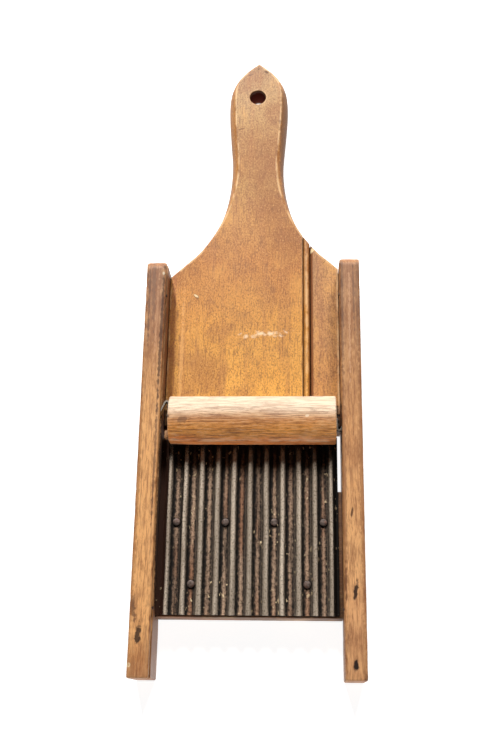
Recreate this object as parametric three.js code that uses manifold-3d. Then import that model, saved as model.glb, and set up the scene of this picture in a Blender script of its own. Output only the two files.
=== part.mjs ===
import * as THREE from 'three';
import { mergeVertices } from 'three/addons/utils/BufferGeometryUtils.js';
import Module from 'manifold-3d';

const wasm = await Module();
wasm.setup();

// Wooden vegetable slicer with a corrugated knife, lying on its back.
// X runs across it, Y towards the handle and Z out of the front. Lengths are millimetres.
// Places along the length are given up from the feet of the rails, or down from the handle's tip.

// Whole object
const overallWidth = 158;

// Side rails, each with one long groove in its inner face
const railWidth = 15;
const railDepth = 39;
const railLength = 299.5;
const rightRailExtra = 1.8;
const railRound = 1.6;
const railTopRound = 2.4;
const railCrown = 8;
const railFootRound = 1.4;
const grooveWidth = 7;
const grooveDepth = 4;
const grooveLip = 2.6;

// Handle board, handle and upper panel in one
const handleLength = 187.9;
const boardThickness = 17;
const throatTop = 173;
const handleOffset = 1.6;
const handleWidth = 47.4;
const neckWidth = 40.7;
const leftShoulderInset = 15.7;
const rightShoulderInset = 8.7;
const widestBelowTip = 40.5;
const neckBelowTip = 94.4;
const shoulderAboveRails = 9.5;
const shoulderSlopeShare = 0.93;
const neckEaseShare = 0.73;
const neckRiseShare = 0.2;
const bulbEaseShare = 0.35;
const tipFlankShare = 0.5;
const tipReachShare = 0.82;
const tipSlopeShare = 0.7;
const tipOffset = 1.8;
const holeRadius = 6.6;
const holeOffset = 1;
const holeBelowTip = 33.4;

// Handle's eased edges, full along the grip, slight at the tip and fading out at the shoulders
const easeWidth = 4.6;
const easeDepth = 9;
const tipEase = 0.8;
const backEaseWidth = 2;
const backEaseDepth = 3;
const easePower = 1.8;
const easeSteps = 4;
const backSteps = 2;
const outlineSteps = 14;

// Bead along the right edge of the handle board
const beadRadius = 2.45;
const quirkWidth = 0.9;

// Side strip, tongued into the handle board
const stripWidth = 21.6;
const jointGap = 0.4;
const stripStep = 0.7;
const stripRound = 2.2;
const tongueThickness = 5;
const tongueDepth = 4;
const tongueClear = 0.3;

// Bed board under the knife
const throatBottom = 128;
const bedFoot = 40.6;
const bedThickness = 20;
const bedRound = 0.8;

// Corrugated knife
const knifeThickness = 1.2;
const knifeLeftGap = 0.7;
const knifeRightGap = 2.8;
const sliceGap = 6;
const knifeInset = 1.3;
const knifeBevel = 4;
const knifeKeen = 0.25;
const pitch = 11.375;
const crestHeight = 3.6;
const crestFlat = 1.6;
const valleyFlat = 4.4;
const crestOffset = -0.2;
const flankSteps = 5;

// Guard bar across the knife
const barLeftGap = 6.1;
const barRightGap = 3.7;
const barWidth = 33.3;
const barSide = 10;
const barCrown = 8;
const barPastEdge = 9.2;
const barAboveKnife = 3.1;
const barEase = 0.8;

// Iron runners that carry the bar in the grooves, each a strap folded back on itself
const strapThickness = 1.2;
const strapWidth = 5.8;
const runnerBite = 2.2;
const runnerReach = 14.3;
const leftFoldReach = 14.3;
const rightFoldReach = 8.3;
const leftInnerLeg = 11;
const rightInnerLeg = 7.4;
const foldRadius = 1.4;
const legLeanAngle = 0.42;
const foldSteps = 10;

// Wooden end blocks on the bar
const blockLength = 5.6;
const blockThickness = 5.6;
const blockProud = 2.8;
const leftBlockPlace = -10.6;
const rightBlockPlace = 6.2;

// Nails that hold the knife to the bed board
const knifeNail = { head: 2.1, dome: 1, shank: 1, length: 14 };
const knifeNailInset = 22.4;
const upperNailShares = [-0.8, -0.27, 0.27, 0.8];
const lowerNailShares = [-0.63, 0.63];

// Nails through the rails into the boards, sunk flush
const railNail = { head: 2.4, dome: 1.2, shank: 1.2, length: 32 };
const bedNailInset = 15.5;
const boardNailInset = 26;

// Nails that hold the runners to the bar
const runnerNail = { head: 1.7, dome: 0.9, shank: 0.8, length: 9 };
const runnerNailInset = 1.85;

// Brads in the grooves that stop the bar
const stopBrad = { head: 1.4, dome: 0.8, shank: 0.8, length: 11 };
const bradStand = 4.8;
const upperBradInset = 27;
const lowerBradInset = 5;

const nailPointShare = 1.6;
const nailClear = 0.3;
const seatGap = 0.1;
const overrun = 6;

// Sizes that follow from these
const overallLength = railLength + handleLength;
const railFeet = -overallLength / 2;
const tipY = overallLength / 2;
const neckY = tipY - neckBelowTip;
const innerHalf = overallWidth / 2 - railWidth;
const railMiddle = innerHalf + railWidth / 2;
const panelHalf = innerHalf - seatGap;
const beadEdge = innerHalf - stripWidth;
const barLength = innerHalf * 2 - barLeftGap - barRightGap;
const barOffset = (barLeftGap - barRightGap) / 2;
const knifeEdge = throatTop - sliceGap;
const knifeFoot = bedFoot + knifeInset;
const barPlace = knifeEdge + barPastEdge;
const lowerBradPlace = bedFoot + lowerBradInset;
const upperBradPlace = railLength - upperBradInset;
const grooveHeight = railDepth - grooveLip - grooveWidth / 2;
const valleyHeight = bedThickness + seatGap + knifeThickness;
const barBack = valleyHeight + crestHeight + barAboveKnife;
const cornerSteps = 5;
const roundSides = 24;
const nailSides = 10;

const fromFeet = (height) => railFeet + height;

const finishes = {
  panel: { color: 0xd09a5c, roughness: 0.6, metalness: 0 },
  beech: { color: 0xb57a45, roughness: 0.7, metalness: 0 },
  bleached: { color: 0xe0bd8c, roughness: 0.75, metalness: 0 },
  tinned: { color: 0x77706a, roughness: 0.5, metalness: 0.8 },
  strap: { color: 0x6a625c, roughness: 0.5, metalness: 0.8 },
  iron: { color: 0x4a4440, roughness: 0.7, metalness: 0.7 },
};

// Closed solids from geometry, and back

function toSolid(geometry) {
  const bare = geometry.index ? geometry.toNonIndexed() : geometry.clone();
  bare.deleteAttribute('normal');
  bare.deleteAttribute('uv');
  const merged = mergeVertices(bare);
  return new wasm.Manifold(new wasm.Mesh({
    numProp: 3,
    vertProperties: new Float32Array(merged.attributes.position.array),
    triVerts: new Uint32Array(merged.index.array),
  }));
}

function toGeometry(solid) {
  const mesh = solid.getMesh();
  const geometry = new THREE.BufferGeometry();
  geometry.setAttribute('position', new THREE.BufferAttribute(new Float32Array(mesh.vertProperties), 3));
  geometry.setIndex(new THREE.BufferAttribute(new Uint32Array(mesh.triVerts), 1));
  const faceted = geometry.toNonIndexed();
  faceted.computeVertexNormals();
  return faceted;
}

// A block between two corners
function block(low, high) {
  const geometry = new THREE.BoxGeometry(high[0] - low[0], high[1] - low[1], high[2] - low[2]);
  geometry.translate((low[0] + high[0]) / 2, (low[1] + high[1]) / 2, (low[2] + high[2]) / 2);
  return toSolid(geometry);
}

// A rectangle centred on zero whose corners are rounded to the radii given, from the upper
// right one round to the left
function roundedRectangle(width, height, radii) {
  const corners = [[1, 1], [-1, 1], [-1, -1], [1, -1]];
  const shape = new THREE.Shape();
  corners.forEach(([right, up], index) => {
    const radius = radii[index];
    const start = index * Math.PI / 2;
    shape.absarc(right * (width / 2 - radius), up * (height / 2 - radius), radius,
      start, start + Math.PI / 2);
  });
  return shape;
}

const sameCorners = (radius) => [radius, radius, radius, radius];

// A shape's sweep along one axis, centred on zero along it
function sweep(shape, length, axis) {
  const geometry = new THREE.ExtrudeGeometry(shape, {
    depth: length,
    bevelEnabled: false,
    curveSegments: cornerSteps,
  });
  geometry.translate(0, 0, -length / 2);
  if (axis === 'y') geometry.rotateX(Math.PI / 2);
  if (axis === 'x') geometry.applyMatrix4(alongX);
  return geometry;
}

// Turns a drawing in X and Y, swept along Z, into one in Y and Z, swept along X
const alongX = new THREE.Matrix4().makeBasis(
  new THREE.Vector3(0, 1, 0),
  new THREE.Vector3(0, 0, 1),
  new THREE.Vector3(1, 0, 0),
);

function cylinder(radius, length, sides) {
  return new THREE.CylinderGeometry(radius, radius, length, sides);
}

// Nails, modelled with the underside of the head at zero and the point towards -Z

function nailGeometry(nail) {
  const point = nail.shank * nailPointShare;
  const profile = [
    new THREE.Vector2(0, -nail.length),
    new THREE.Vector2(nail.shank, point - nail.length),
    new THREE.Vector2(nail.shank, 0),
    new THREE.Vector2(nail.head, 0),
    new THREE.Vector2(nail.head, nail.dome / 3),
    new THREE.Vector2(nail.head * Math.SQRT1_2, nail.dome * Math.sin(Math.PI / 3)),
    new THREE.Vector2(0, nail.dome),
  ];
  const geometry = new THREE.LatheGeometry(profile, nailSides);
  geometry.rotateX(Math.PI / 2);
  return geometry;
}

// The hole that takes a nail, as a cutter in the nail's own place
function nailHole(nail, place, turn, sunk) {
  const length = nail.length + nailClear + overrun;
  const shank = cylinder(nail.shank + nailClear, length, nailSides);
  shank.rotateX(Math.PI / 2);
  shank.translate(0, 0, overrun - length / 2);
  let hole = toSolid(placed(shank, place, turn));
  if (sunk) {
    const depth = nailClear + overrun;
    const head = cylinder(nail.head + nailClear, depth, nailSides);
    head.rotateX(Math.PI / 2);
    head.translate(0, 0, overrun - depth / 2);
    hole = hole.add(toSolid(placed(head, place, turn)));
  }
  return hole;
}

function placed(geometry, place, turn) {
  geometry.rotateY(turn);
  geometry.translate(place.x, place.y, place.z);
  return geometry;
}

// Places and directions of every nail

const pointsRight = -Math.PI / 2;
const pointsLeft = Math.PI / 2;

// Middle of the valley nearest to a share of the way from the knife's middle to a rail
function valleyX(share) {
  const valley = Math.round((share * innerHalf - crestOffset) / pitch - 1 / 2);
  return crestOffset + (valley + 1 / 2) * pitch;
}

const knifeNailPlaces = [
  ...upperNailShares.map((share) => ({ x: valleyX(share), y: fromFeet(throatBottom - knifeNailInset) })),
  ...lowerNailShares.map((share) => ({ x: valleyX(share), y: fromFeet(bedFoot + knifeNailInset) })),
].map((place) => ({ ...place, z: valleyHeight + nailClear }));

const railNailRows = [
  bedFoot + bedNailInset,
  throatBottom - bedNailInset,
  throatTop + boardNailInset,
  railLength - boardNailInset,
];

const sides = [
  {
    name: 'left', sign: -1, inward: pointsRight, outward: pointsLeft,
    railLength, shoulderReach: panelHalf - leftShoulderInset,
    foldReach: leftFoldReach, innerLeg: leftInnerLeg, blockPlace: leftBlockPlace,
  },
  {
    name: 'right', sign: 1, inward: pointsLeft, outward: pointsRight,
    railLength: railLength + rightRailExtra, shoulderReach: panelHalf - rightShoulderInset,
    foldReach: rightFoldReach, innerLeg: rightInnerLeg, blockPlace: rightBlockPlace,
  },
];
const [leftSide, rightSide] = sides;

function railNailPlace(side, row) {
  const height = fromFeet(row) < fromFeet(throatBottom) ? bedThickness / 2 : boardThickness / 2;
  return { x: side.sign * (overallWidth / 2 - railNail.dome), y: fromFeet(row), z: height };
}

function bradPlace(side, height) {
  const face = innerHalf + grooveDepth - bradStand + stopBrad.dome;
  return { x: side.sign * face, y: fromFeet(height), z: grooveHeight };
}

// Rails

// Square bar with eased arrises, feet cut nearly square and an upper end crowned to the front
function makeRail(side) {
  const length = side.railLength;
  const across = sweep(roundedRectangle(railWidth, railDepth, sameCorners(railRound)), length, 'y');
  const front = sweep(roundedRectangle(railWidth, length,
    [railTopRound, railTopRound, railFootRound, railFootRound]), railDepth, 'z');
  const profile = sweep(roundedRectangle(length, railDepth,
    [railCrown, railFootRound, railFootRound, railTopRound]), railWidth, 'x');
  const rounded = toSolid(across).intersect(toSolid(front)).intersect(toSolid(profile));
  let rail = rounded.translate([side.sign * railMiddle, fromFeet(length / 2), railDepth / 2]);
  const mouth = side.sign * (innerHalf - overrun);
  const floor = side.sign * (innerHalf + grooveDepth);
  rail = rail.subtract(block(
    [Math.min(mouth, floor), fromFeet(-overrun), grooveHeight - grooveWidth / 2],
    [Math.max(mouth, floor), fromFeet(length + overrun), grooveHeight + grooveWidth / 2],
  ));
  for (const row of railNailRows) {
    rail = rail.subtract(nailHole(railNail, railNailPlace(side, row), side.inward, true));
  }
  for (const height of [lowerBradPlace, upperBradPlace]) {
    rail = rail.subtract(nailHole(stopBrad, bradPlace(side, height), side.outward, false));
  }
  return rail;
}

// Handle and upper panel

const shoulderY = fromFeet(railLength + shoulderAboveRails);
const widestY = tipY - widestBelowTip;

// One half of the outline, from the throat up beside a rail and round to the handle's tip
function halfOutline(side) {
  const at = (x) => side.sign * x;
  const beside = (half) => handleOffset + side.sign * half;
  const slopeFoot = shoulderY - (panelHalf - side.shoulderReach) * shoulderSlopeShare;
  const bulb = widestY - neckY;
  const tipReach = tipReachShare * handleWidth / 2;
  const curves = [
    [
      [at(side.shoulderReach), shoulderY],
      [at(side.shoulderReach), shoulderY],
      [beside(neckWidth / 2), neckY - neckEaseShare * (neckY - shoulderY)],
      [beside(neckWidth / 2), neckY],
    ],
    [
      [beside(neckWidth / 2), neckY],
      [beside(neckWidth / 2), neckY + neckRiseShare * bulb],
      [beside(handleWidth / 2), widestY - bulbEaseShare * bulb],
      [beside(handleWidth / 2), widestY],
    ],
    [
      [beside(handleWidth / 2), widestY],
      [beside(handleWidth / 2), widestY + tipFlankShare * widestBelowTip],
      [tipOffset + at(tipReach), tipY - tipReach * tipSlopeShare],
      [tipOffset, tipY],
    ],
  ];
  const points = [
    new THREE.Vector2(at(panelHalf), fromFeet(throatTop)),
    new THREE.Vector2(at(panelHalf), slopeFoot),
    new THREE.Vector2(at(side.shoulderReach), shoulderY),
  ];
  for (const controls of curves) {
    const corners = controls.map(([x, y]) => new THREE.Vector2(x, y));
    points.push(...new THREE.CubicBezierCurve(...corners).getPoints(outlineSteps).slice(1));
  }
  return points;
}

// How far the front arris stands in from the outline at a height
function easeAt(y) {
  const grip = THREE.MathUtils.smoothstep(y, shoulderY, neckY);
  const tip = THREE.MathUtils.smoothstep(y, widestY, tipY);
  return easeWidth * grip + (tipEase - easeWidth) * tip;
}

// The whole board before it is split into handle board and side strip, lofted between rings
// that stand in from the outline by the ease at their depth
function makeWholeBoard() {
  const outline = [...halfOutline(rightSide), ...halfOutline(leftSide).slice(0, -1).reverse()];
  const count = outline.length;
  const inwards = outline.map((point, index) => {
    const before = outline[(index + count - 1) % count];
    const after = outline[(index + 1) % count];
    const along = after.clone().sub(before).normalize();
    return new THREE.Vector2(-along.y, along.x);
  });
  const levels = [];
  for (let step = 0; step <= backSteps; step += 1) {
    const share = 1 - step / backSteps;
    levels.push({ z: backEaseDepth * (1 - share), inset: backEaseWidth / easeWidth * share ** easePower });
  }
  for (let step = 0; step <= easeSteps; step += 1) {
    const share = step / easeSteps;
    levels.push({ z: boardThickness - easeDepth * (1 - share), inset: share ** easePower });
  }
  const rings = levels.map((level) => outline.map((point, index) => {
    const place = point.clone().addScaledVector(inwards[index], level.inset * easeAt(point.y));
    return new THREE.Vector3(place.x, place.y, level.z);
  }));
  const faces = [];
  for (let ring = 0; ring < rings.length - 1; ring += 1) {
    for (let index = 0; index < count; index += 1) {
      const low = ring * count + index;
      const lowNext = ring * count + (index + 1) % count;
      faces.push(low, lowNext, lowNext + count, low, lowNext + count, low + count);
    }
  }
  const top = (rings.length - 1) * count;
  for (const [a, b, c] of THREE.ShapeUtils.triangulateShape(rings[0], [])) {
    faces.push(a, c, b);
  }
  for (const [a, b, c] of THREE.ShapeUtils.triangulateShape(rings.at(-1), [])) {
    faces.push(top + a, top + b, top + c);
  }
  const geometry = new THREE.BufferGeometry().setFromPoints(rings.flat());
  geometry.setIndex(faces);
  return toSolid(geometry);
}

// Takes the square arris off along Y, up to the neck, and leaves a round one
function roundArris(solid, centreX, centreZ, radius, low, high) {
  const long = overallLength + overrun;
  const corner = block([low, -long / 2, centreZ], [high, neckY, centreZ + radius + overrun]);
  const core = cylinder(radius, long + overrun, roundSides);
  core.translate(centreX, 0, centreZ);
  return solid.subtract(corner.subtract(toSolid(core)));
}

function makeHandleBoard(whole) {
  const long = overallLength + overrun;
  let board = whole.intersect(block([-panelHalf - overrun, -long / 2, -overrun],
    [beadEdge, long / 2, boardThickness + overrun]));
  board = roundArris(board, beadEdge - beadRadius, boardThickness - beadRadius, beadRadius,
    beadEdge - beadRadius * 2 - quirkWidth, beadEdge + overrun);
  board = board.subtract(block(
    [beadEdge - tongueDepth - tongueClear, -long / 2, (boardThickness - tongueThickness) / 2 - tongueClear],
    [beadEdge + overrun, neckY, (boardThickness + tongueThickness) / 2 + tongueClear],
  ));
  const hole = cylinder(holeRadius, boardThickness + overrun, roundSides);
  hole.rotateX(Math.PI / 2);
  hole.translate(holeOffset, tipY - holeBelowTip, boardThickness / 2);
  board = board.subtract(toSolid(hole));
  for (const row of railNailRows) {
    board = board.subtract(nailHole(railNail, railNailPlace(leftSide, row), leftSide.inward, false));
  }
  return board;
}

function makeSideStrip(whole) {
  const long = overallLength + overrun;
  const edge = beadEdge + jointGap;
  const front = boardThickness - stripStep;
  let strip = whole.intersect(block([edge, -long / 2, -overrun], [panelHalf + overrun, neckY, front]));
  strip = roundArris(strip, edge + stripRound, front - stripRound, stripRound,
    edge - overrun, edge + stripRound);
  const tongueLow = (boardThickness - tongueThickness) / 2;
  const tongue = block(
    [beadEdge - tongueDepth, -long / 2, tongueLow],
    [edge + tongueDepth, neckY, tongueLow + tongueThickness],
  );
  strip = strip.add(tongue.intersect(whole));
  for (const row of railNailRows) {
    strip = strip.subtract(nailHole(railNail, railNailPlace(rightSide, row), rightSide.inward, false));
  }
  return strip;
}

// Bed board with its long arrises eased
function makeBedBoard() {
  const length = throatBottom - bedFoot;
  const section = roundedRectangle(length, bedThickness, sameCorners(bedRound));
  let bed = toSolid(sweep(section, panelHalf * 2, 'x'));
  bed = bed.translate([0, fromFeet(bedFoot + length / 2), bedThickness / 2]);
  for (const place of knifeNailPlaces) {
    bed = bed.subtract(nailHole(knifeNail, place, 0, false));
  }
  for (const side of sides) {
    for (const row of railNailRows) {
      bed = bed.subtract(nailHole(railNail, railNailPlace(side, row), side.inward, false));
    }
  }
  return bed;
}

// Corrugated knife

// Height of the sheet over its valleys at a place across it
function waveHeight(x) {
  const turns = (x - crestOffset) / pitch;
  const away = Math.abs(turns - Math.round(turns)) * pitch;
  const flank = (pitch - crestFlat - valleyFlat) / 2;
  const share = Math.min(Math.max((away - crestFlat / 2) / flank, 0), 1);
  return crestHeight * (1 + Math.cos(Math.PI * share)) / 2;
}

// Places across the sheet where its section bends, from edge to edge
function waveStations() {
  const low = knifeLeftGap - innerHalf;
  const high = innerHalf - knifeRightGap;
  const flank = (pitch - crestFlat - valleyFlat) / 2;
  const stations = [low, high];
  const first = Math.floor((low - crestOffset) / pitch);
  const last = Math.ceil((high - crestOffset) / pitch);
  for (let crest = first; crest <= last; crest += 1) {
    const middle = crestOffset + crest * pitch;
    for (let step = 0; step <= flankSteps; step += 1) {
      const away = crestFlat / 2 + flank * step / flankSteps;
      stations.push(middle - away, middle + away);
    }
  }
  const inside = stations.filter((x) => x >= low && x <= high).sort((a, b) => a - b);
  return inside.filter((x, index) => index === 0 || x > inside[index - 1]);
}

// Sheet whose upper side slopes down to the keen edge over the bevel
function makeKnife() {
  const across = waveStations();
  const along = [
    { y: fromFeet(knifeFoot), thickness: knifeThickness },
    { y: fromFeet(knifeEdge - knifeBevel), thickness: knifeThickness },
    { y: fromFeet(knifeEdge), thickness: knifeKeen },
  ];
  const positions = [];
  for (const station of along) {
    for (const x of across) {
      const under = bedThickness + seatGap + waveHeight(x);
      positions.push(x, station.y, under, x, station.y, under + station.thickness);
    }
  }
  const vertex = (row, column, upper) => (row * across.length + column) * 2 + upper;
  const faces = [];
  const quad = (a, b, c, d) => faces.push(a, b, c, a, c, d);
  const last = across.length - 1;
  for (let row = 0; row < along.length - 1; row += 1) {
    for (let column = 0; column < last; column += 1) {
      quad(vertex(row, column, 1), vertex(row, column + 1, 1),
        vertex(row + 1, column + 1, 1), vertex(row + 1, column, 1));
      quad(vertex(row, column, 0), vertex(row + 1, column, 0),
        vertex(row + 1, column + 1, 0), vertex(row, column + 1, 0));
    }
    quad(vertex(row, 0, 0), vertex(row, 0, 1), vertex(row + 1, 0, 1), vertex(row + 1, 0, 0));
    quad(vertex(row, last, 0), vertex(row + 1, last, 0), vertex(row + 1, last, 1), vertex(row, last, 1));
  }
  const end = along.length - 1;
  for (let column = 0; column < last; column += 1) {
    quad(vertex(0, column, 0), vertex(0, column + 1, 0),
      vertex(0, column + 1, 1), vertex(0, column, 1));
    quad(vertex(end, column, 0), vertex(end, column, 1),
      vertex(end, column + 1, 1), vertex(end, column + 1, 0));
  }
  const geometry = new THREE.BufferGeometry();
  geometry.setAttribute('position', new THREE.Float32BufferAttribute(positions, 3));
  geometry.setIndex(faces);
  let knife = toSolid(geometry);
  for (const place of knifeNailPlaces) {
    knife = knife.subtract(nailHole(knifeNail, place, 0, false));
  }
  return knife;
}

// Guard bar and what rides with it, around the middle of the bar

const barEndX = (side) => side.sign * barLength / 2;
const legX = (side) => side.sign * (innerHalf + runnerBite) - barOffset;
const runnerTurn = (side) => -side.sign;

// Bar with a flat back, two upright sides and a crowned front
function makeBar() {
  const half = barWidth / 2;
  const radius = (half * half + barCrown * barCrown) / (2 * barCrown);
  const reach = Math.asin(half / radius);
  const section = new THREE.Shape();
  section.moveTo(-half + barEase, 0);
  section.lineTo(half - barEase, 0);
  section.lineTo(half, barEase);
  section.lineTo(half, barSide);
  section.absarc(0, barSide + barCrown - radius, radius, Math.PI / 2 - reach, Math.PI / 2 + reach);
  section.lineTo(-half, barEase);
  section.closePath();
  const geometry = new THREE.ExtrudeGeometry(section, {
    depth: barLength - barEase * 2,
    bevelThickness: barEase,
    bevelSize: barEase,
    bevelOffset: -barEase,
    bevelSegments: 1,
    curveSegments: roundSides / 2,
  });
  geometry.translate(0, 0, barEase - barLength / 2);
  geometry.applyMatrix4(alongX);
  geometry.translate(0, 0, barBack);
  let bar = toSolid(geometry);
  for (const side of sides) {
    for (const place of runnerNailPlaces(side)) {
      bar = bar.subtract(nailHole(runnerNail, place, side.inward, false));
    }
  }
  return bar;
}

function runnerNailPlaces(side) {
  const bend = side.foldReach - foldRadius - strapThickness / 2;
  return [bend - runnerNailInset, bend - side.innerLeg + runnerNailInset].map((along) => ({
    x: barEndX(side) + side.sign * (seatGap + strapThickness + seatGap),
    y: runnerTurn(side) * along,
    z: grooveHeight,
  }));
}

// Middle line of the strap from its short end: up the bar's end, round the tight fold, slanting
// out into the groove and straight on along it. X away from the bar, Y towards the fold.
function runnerLine(side) {
  const inner = Math.abs(barEndX(side)) + seatGap + strapThickness / 2;
  const leg = Math.abs(legX(side));
  const bend = side.foldReach - foldRadius - strapThickness / 2;
  const line = [new THREE.Vector2(inner, bend - side.innerLeg)];
  for (let step = 0; step <= foldSteps; step += 1) {
    const angle = Math.PI - (Math.PI - legLeanAngle) * step / foldSteps;
    line.push(new THREE.Vector2(
      inner + foldRadius + foldRadius * Math.cos(angle),
      bend + foldRadius * Math.sin(angle),
    ));
  }
  const lean = line.at(-1);
  const drop = (leg - lean.x) / Math.tan(legLeanAngle);
  line.push(new THREE.Vector2(leg, lean.y - drop));
  line.push(new THREE.Vector2(leg, -runnerReach));
  return line;
}

// Strap of even thickness along its middle line, with mitred corners
function makeRunner(side) {
  const line = runnerLine(side);
  const offsets = line.map((point, index) => {
    const before = line[Math.max(index - 1, 0)];
    const after = line[Math.min(index + 1, line.length - 1)];
    const incoming = (index === 0 ? after.clone().sub(point) : point.clone().sub(before)).normalize();
    const outgoing = (index === line.length - 1 ? incoming.clone() : after.clone().sub(point).normalize());
    const across = new THREE.Vector2(-incoming.y - outgoing.y, incoming.x + outgoing.x).normalize();
    const square = new THREE.Vector2(-outgoing.y, outgoing.x);
    return across.multiplyScalar(strapThickness / 2 / across.dot(square));
  });
  const oneSide = line.map((point, index) => point.clone().add(offsets[index]));
  const otherSide = line.map((point, index) => point.clone().sub(offsets[index]));
  const geometry = new THREE.ExtrudeGeometry(new THREE.Shape([...oneSide, ...otherSide.reverse()]), {
    depth: strapWidth,
    bevelEnabled: false,
  });
  geometry.translate(0, 0, -strapWidth / 2);
  if (side.sign < 0) geometry.rotateY(Math.PI);
  if (runnerTurn(side) < 0) geometry.rotateX(Math.PI);
  geometry.translate(0, 0, grooveHeight);
  let runner = toSolid(geometry);
  for (const place of runnerNailPlaces(side)) {
    runner = runner.subtract(nailHole(runnerNail, place, side.inward, false));
  }
  return runner;
}

function makeEndBlock() {
  return new THREE.BoxGeometry(blockProud, blockLength, blockThickness);
}

// Scene graph

function addMesh(group, name, shape, finish) {
  const geometry = shape.isBufferGeometry ? shape : toGeometry(shape);
  const mesh = new THREE.Mesh(geometry, new THREE.MeshStandardMaterial(finish));
  mesh.name = name;
  group.add(mesh);
  return mesh;
}

function addNail(group, name, nail, place, turn) {
  const mesh = addMesh(group, name, nailGeometry(nail), finishes.iron);
  mesh.position.set(place.x, place.y, place.z);
  mesh.rotation.y = turn;
}

const slicer = new THREE.Group();

const frame = new THREE.Group();
slicer.add(frame);
const wholeBoard = makeWholeBoard();
addMesh(frame, 'handle_board', makeHandleBoard(wholeBoard), finishes.panel);
addMesh(frame, 'side_strip', makeSideStrip(wholeBoard), finishes.panel);
addMesh(frame, 'bed_board', makeBedBoard(), finishes.beech);
addMesh(frame, 'corrugated_knife', makeKnife(), finishes.tinned);
knifeNailPlaces.forEach((place, index) => {
  addNail(frame, `knife_nail_${index + 1}`, knifeNail, place, 0);
});
for (const side of sides) {
  addMesh(frame, `${side.name}_rail`, makeRail(side), finishes.beech);
  railNailRows.forEach((row, index) => {
    addNail(frame, `${side.name}_rail_nail_${index + 1}`, railNail, railNailPlace(side, row), side.inward);
  });
  [lowerBradPlace, upperBradPlace].forEach((height, index) => {
    addNail(frame, `${side.name}_stop_brad_${index + 1}`, stopBrad, bradPlace(side, height), side.outward);
  });
}

const guard = new THREE.Group();
guard.position.set(barOffset, fromFeet(barPlace), 0);
slicer.add(guard);
addMesh(guard, 'guard_bar', makeBar(), finishes.bleached);
for (const side of sides) {
  addMesh(guard, `${side.name}_runner`, makeRunner(side), finishes.strap);
  const endBlock = addMesh(guard, `${side.name}_end_block`, makeEndBlock(), finishes.beech);
  endBlock.position.set(
    barEndX(side) + side.sign * (seatGap + blockProud / 2),
    side.blockPlace,
    grooveHeight,
  );
  runnerNailPlaces(side).forEach((place, index) => {
    addNail(guard, `${side.name}_runner_nail_${index + 1}`, runnerNail, place, side.inward);
  });
}

export default slicer;
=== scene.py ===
import math

import bmesh
import bpy
from mathutils import Matrix, Vector, noise
from mathutils.geometry import tessellate_polygon


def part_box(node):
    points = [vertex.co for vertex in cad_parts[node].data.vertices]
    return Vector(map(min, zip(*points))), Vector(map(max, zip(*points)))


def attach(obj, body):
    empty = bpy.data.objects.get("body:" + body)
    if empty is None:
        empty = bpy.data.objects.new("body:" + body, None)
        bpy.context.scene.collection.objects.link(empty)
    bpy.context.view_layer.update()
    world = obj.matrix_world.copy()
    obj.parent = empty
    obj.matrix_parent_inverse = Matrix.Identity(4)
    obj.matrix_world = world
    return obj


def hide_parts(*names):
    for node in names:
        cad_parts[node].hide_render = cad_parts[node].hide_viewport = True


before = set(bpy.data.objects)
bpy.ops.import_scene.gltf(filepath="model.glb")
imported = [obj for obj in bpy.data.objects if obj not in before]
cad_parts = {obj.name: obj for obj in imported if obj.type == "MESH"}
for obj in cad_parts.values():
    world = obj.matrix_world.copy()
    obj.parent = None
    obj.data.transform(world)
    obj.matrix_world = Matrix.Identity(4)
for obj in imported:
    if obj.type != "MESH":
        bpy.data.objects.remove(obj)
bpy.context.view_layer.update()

mm = 0.001
print("frame loaded")


# Camera at the photograph's viewing angle, 504 x 756

cameraPlan = {
    "place": (37.6 * mm, -265.5 * mm, 712.9 * mm),
    "turn": (-18.67, -2.96, 0.15),  # degrees about X, Y and Z that take the world to the camera
    "focalPixels": 1000,
    "longSidePixels": 756,
    "sensor": 36,
}


def makeCamera(plan):
    data = bpy.data.cameras.new("camera")
    data.sensor_width = plan["sensor"]
    data.lens = plan["sensor"] * plan["focalPixels"] / plan["longSidePixels"]
    camera = bpy.data.objects.new("camera", data)
    bpy.context.scene.collection.objects.link(camera)
    aboutX, aboutY, aboutZ = (math.radians(angle) for angle in plan["turn"])
    toCamera = (Matrix.Rotation(aboutZ, 3, "Z") @ Matrix.Rotation(aboutY, 3, "Y")
                @ Matrix.Rotation(aboutX, 3, "X"))
    camera.matrix_world = Matrix.Translation(plan["place"]) @ toCamera.transposed().to_4x4()
    bpy.context.scene.camera = camera


makeCamera(cameraPlan)
print("camera ready")


# Colours and shader nodes

smoothly = {"interpolation_type": "SMOOTHSTEP"}
mixColours = {"data_type": "RGBA", "clamp_factor": True}
add = {"operation": "ADD"}
subtract = {"operation": "SUBTRACT"}
multiply = {"operation": "MULTIPLY"}
multiplyAdd = {"operation": "MULTIPLY_ADD"}
larger = {"operation": "MAXIMUM"}


def hexColour(text):
    # sRGB hex to the linear values that shader sockets take
    parts = [int(text[i:i + 2], 16) / 255 for i in (0, 2, 4)]
    linear = [p / 12.92 if p <= 0.04045 else ((p + 0.055) / 1.055) ** 2.4 for p in parts]
    return (*linear, 1.0)


def addNode(tree, kind, settings=None, inputs=None):
    # inputs are values, hex colours or output sockets, by the input's name or number
    node = tree.nodes.new(kind)
    for name, value in (settings or {}).items():
        setattr(node, name, value)
    for name, value in (inputs or {}).items():
        socket = node.inputs[name]
        if isinstance(value, bpy.types.NodeSocket):
            tree.links.new(value, socket)
        else:
            socket.default_value = hexColour(value) if isinstance(value, str) else value
    outputs = list(node.outputs)
    return outputs[2] if kind == "ShaderNodeMix" else outputs[0] if outputs else node


def newMaterial(name):
    material = bpy.data.materials.new(name)
    material.use_nodes = True
    material.node_tree.nodes.clear()
    return material, material.node_tree


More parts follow.
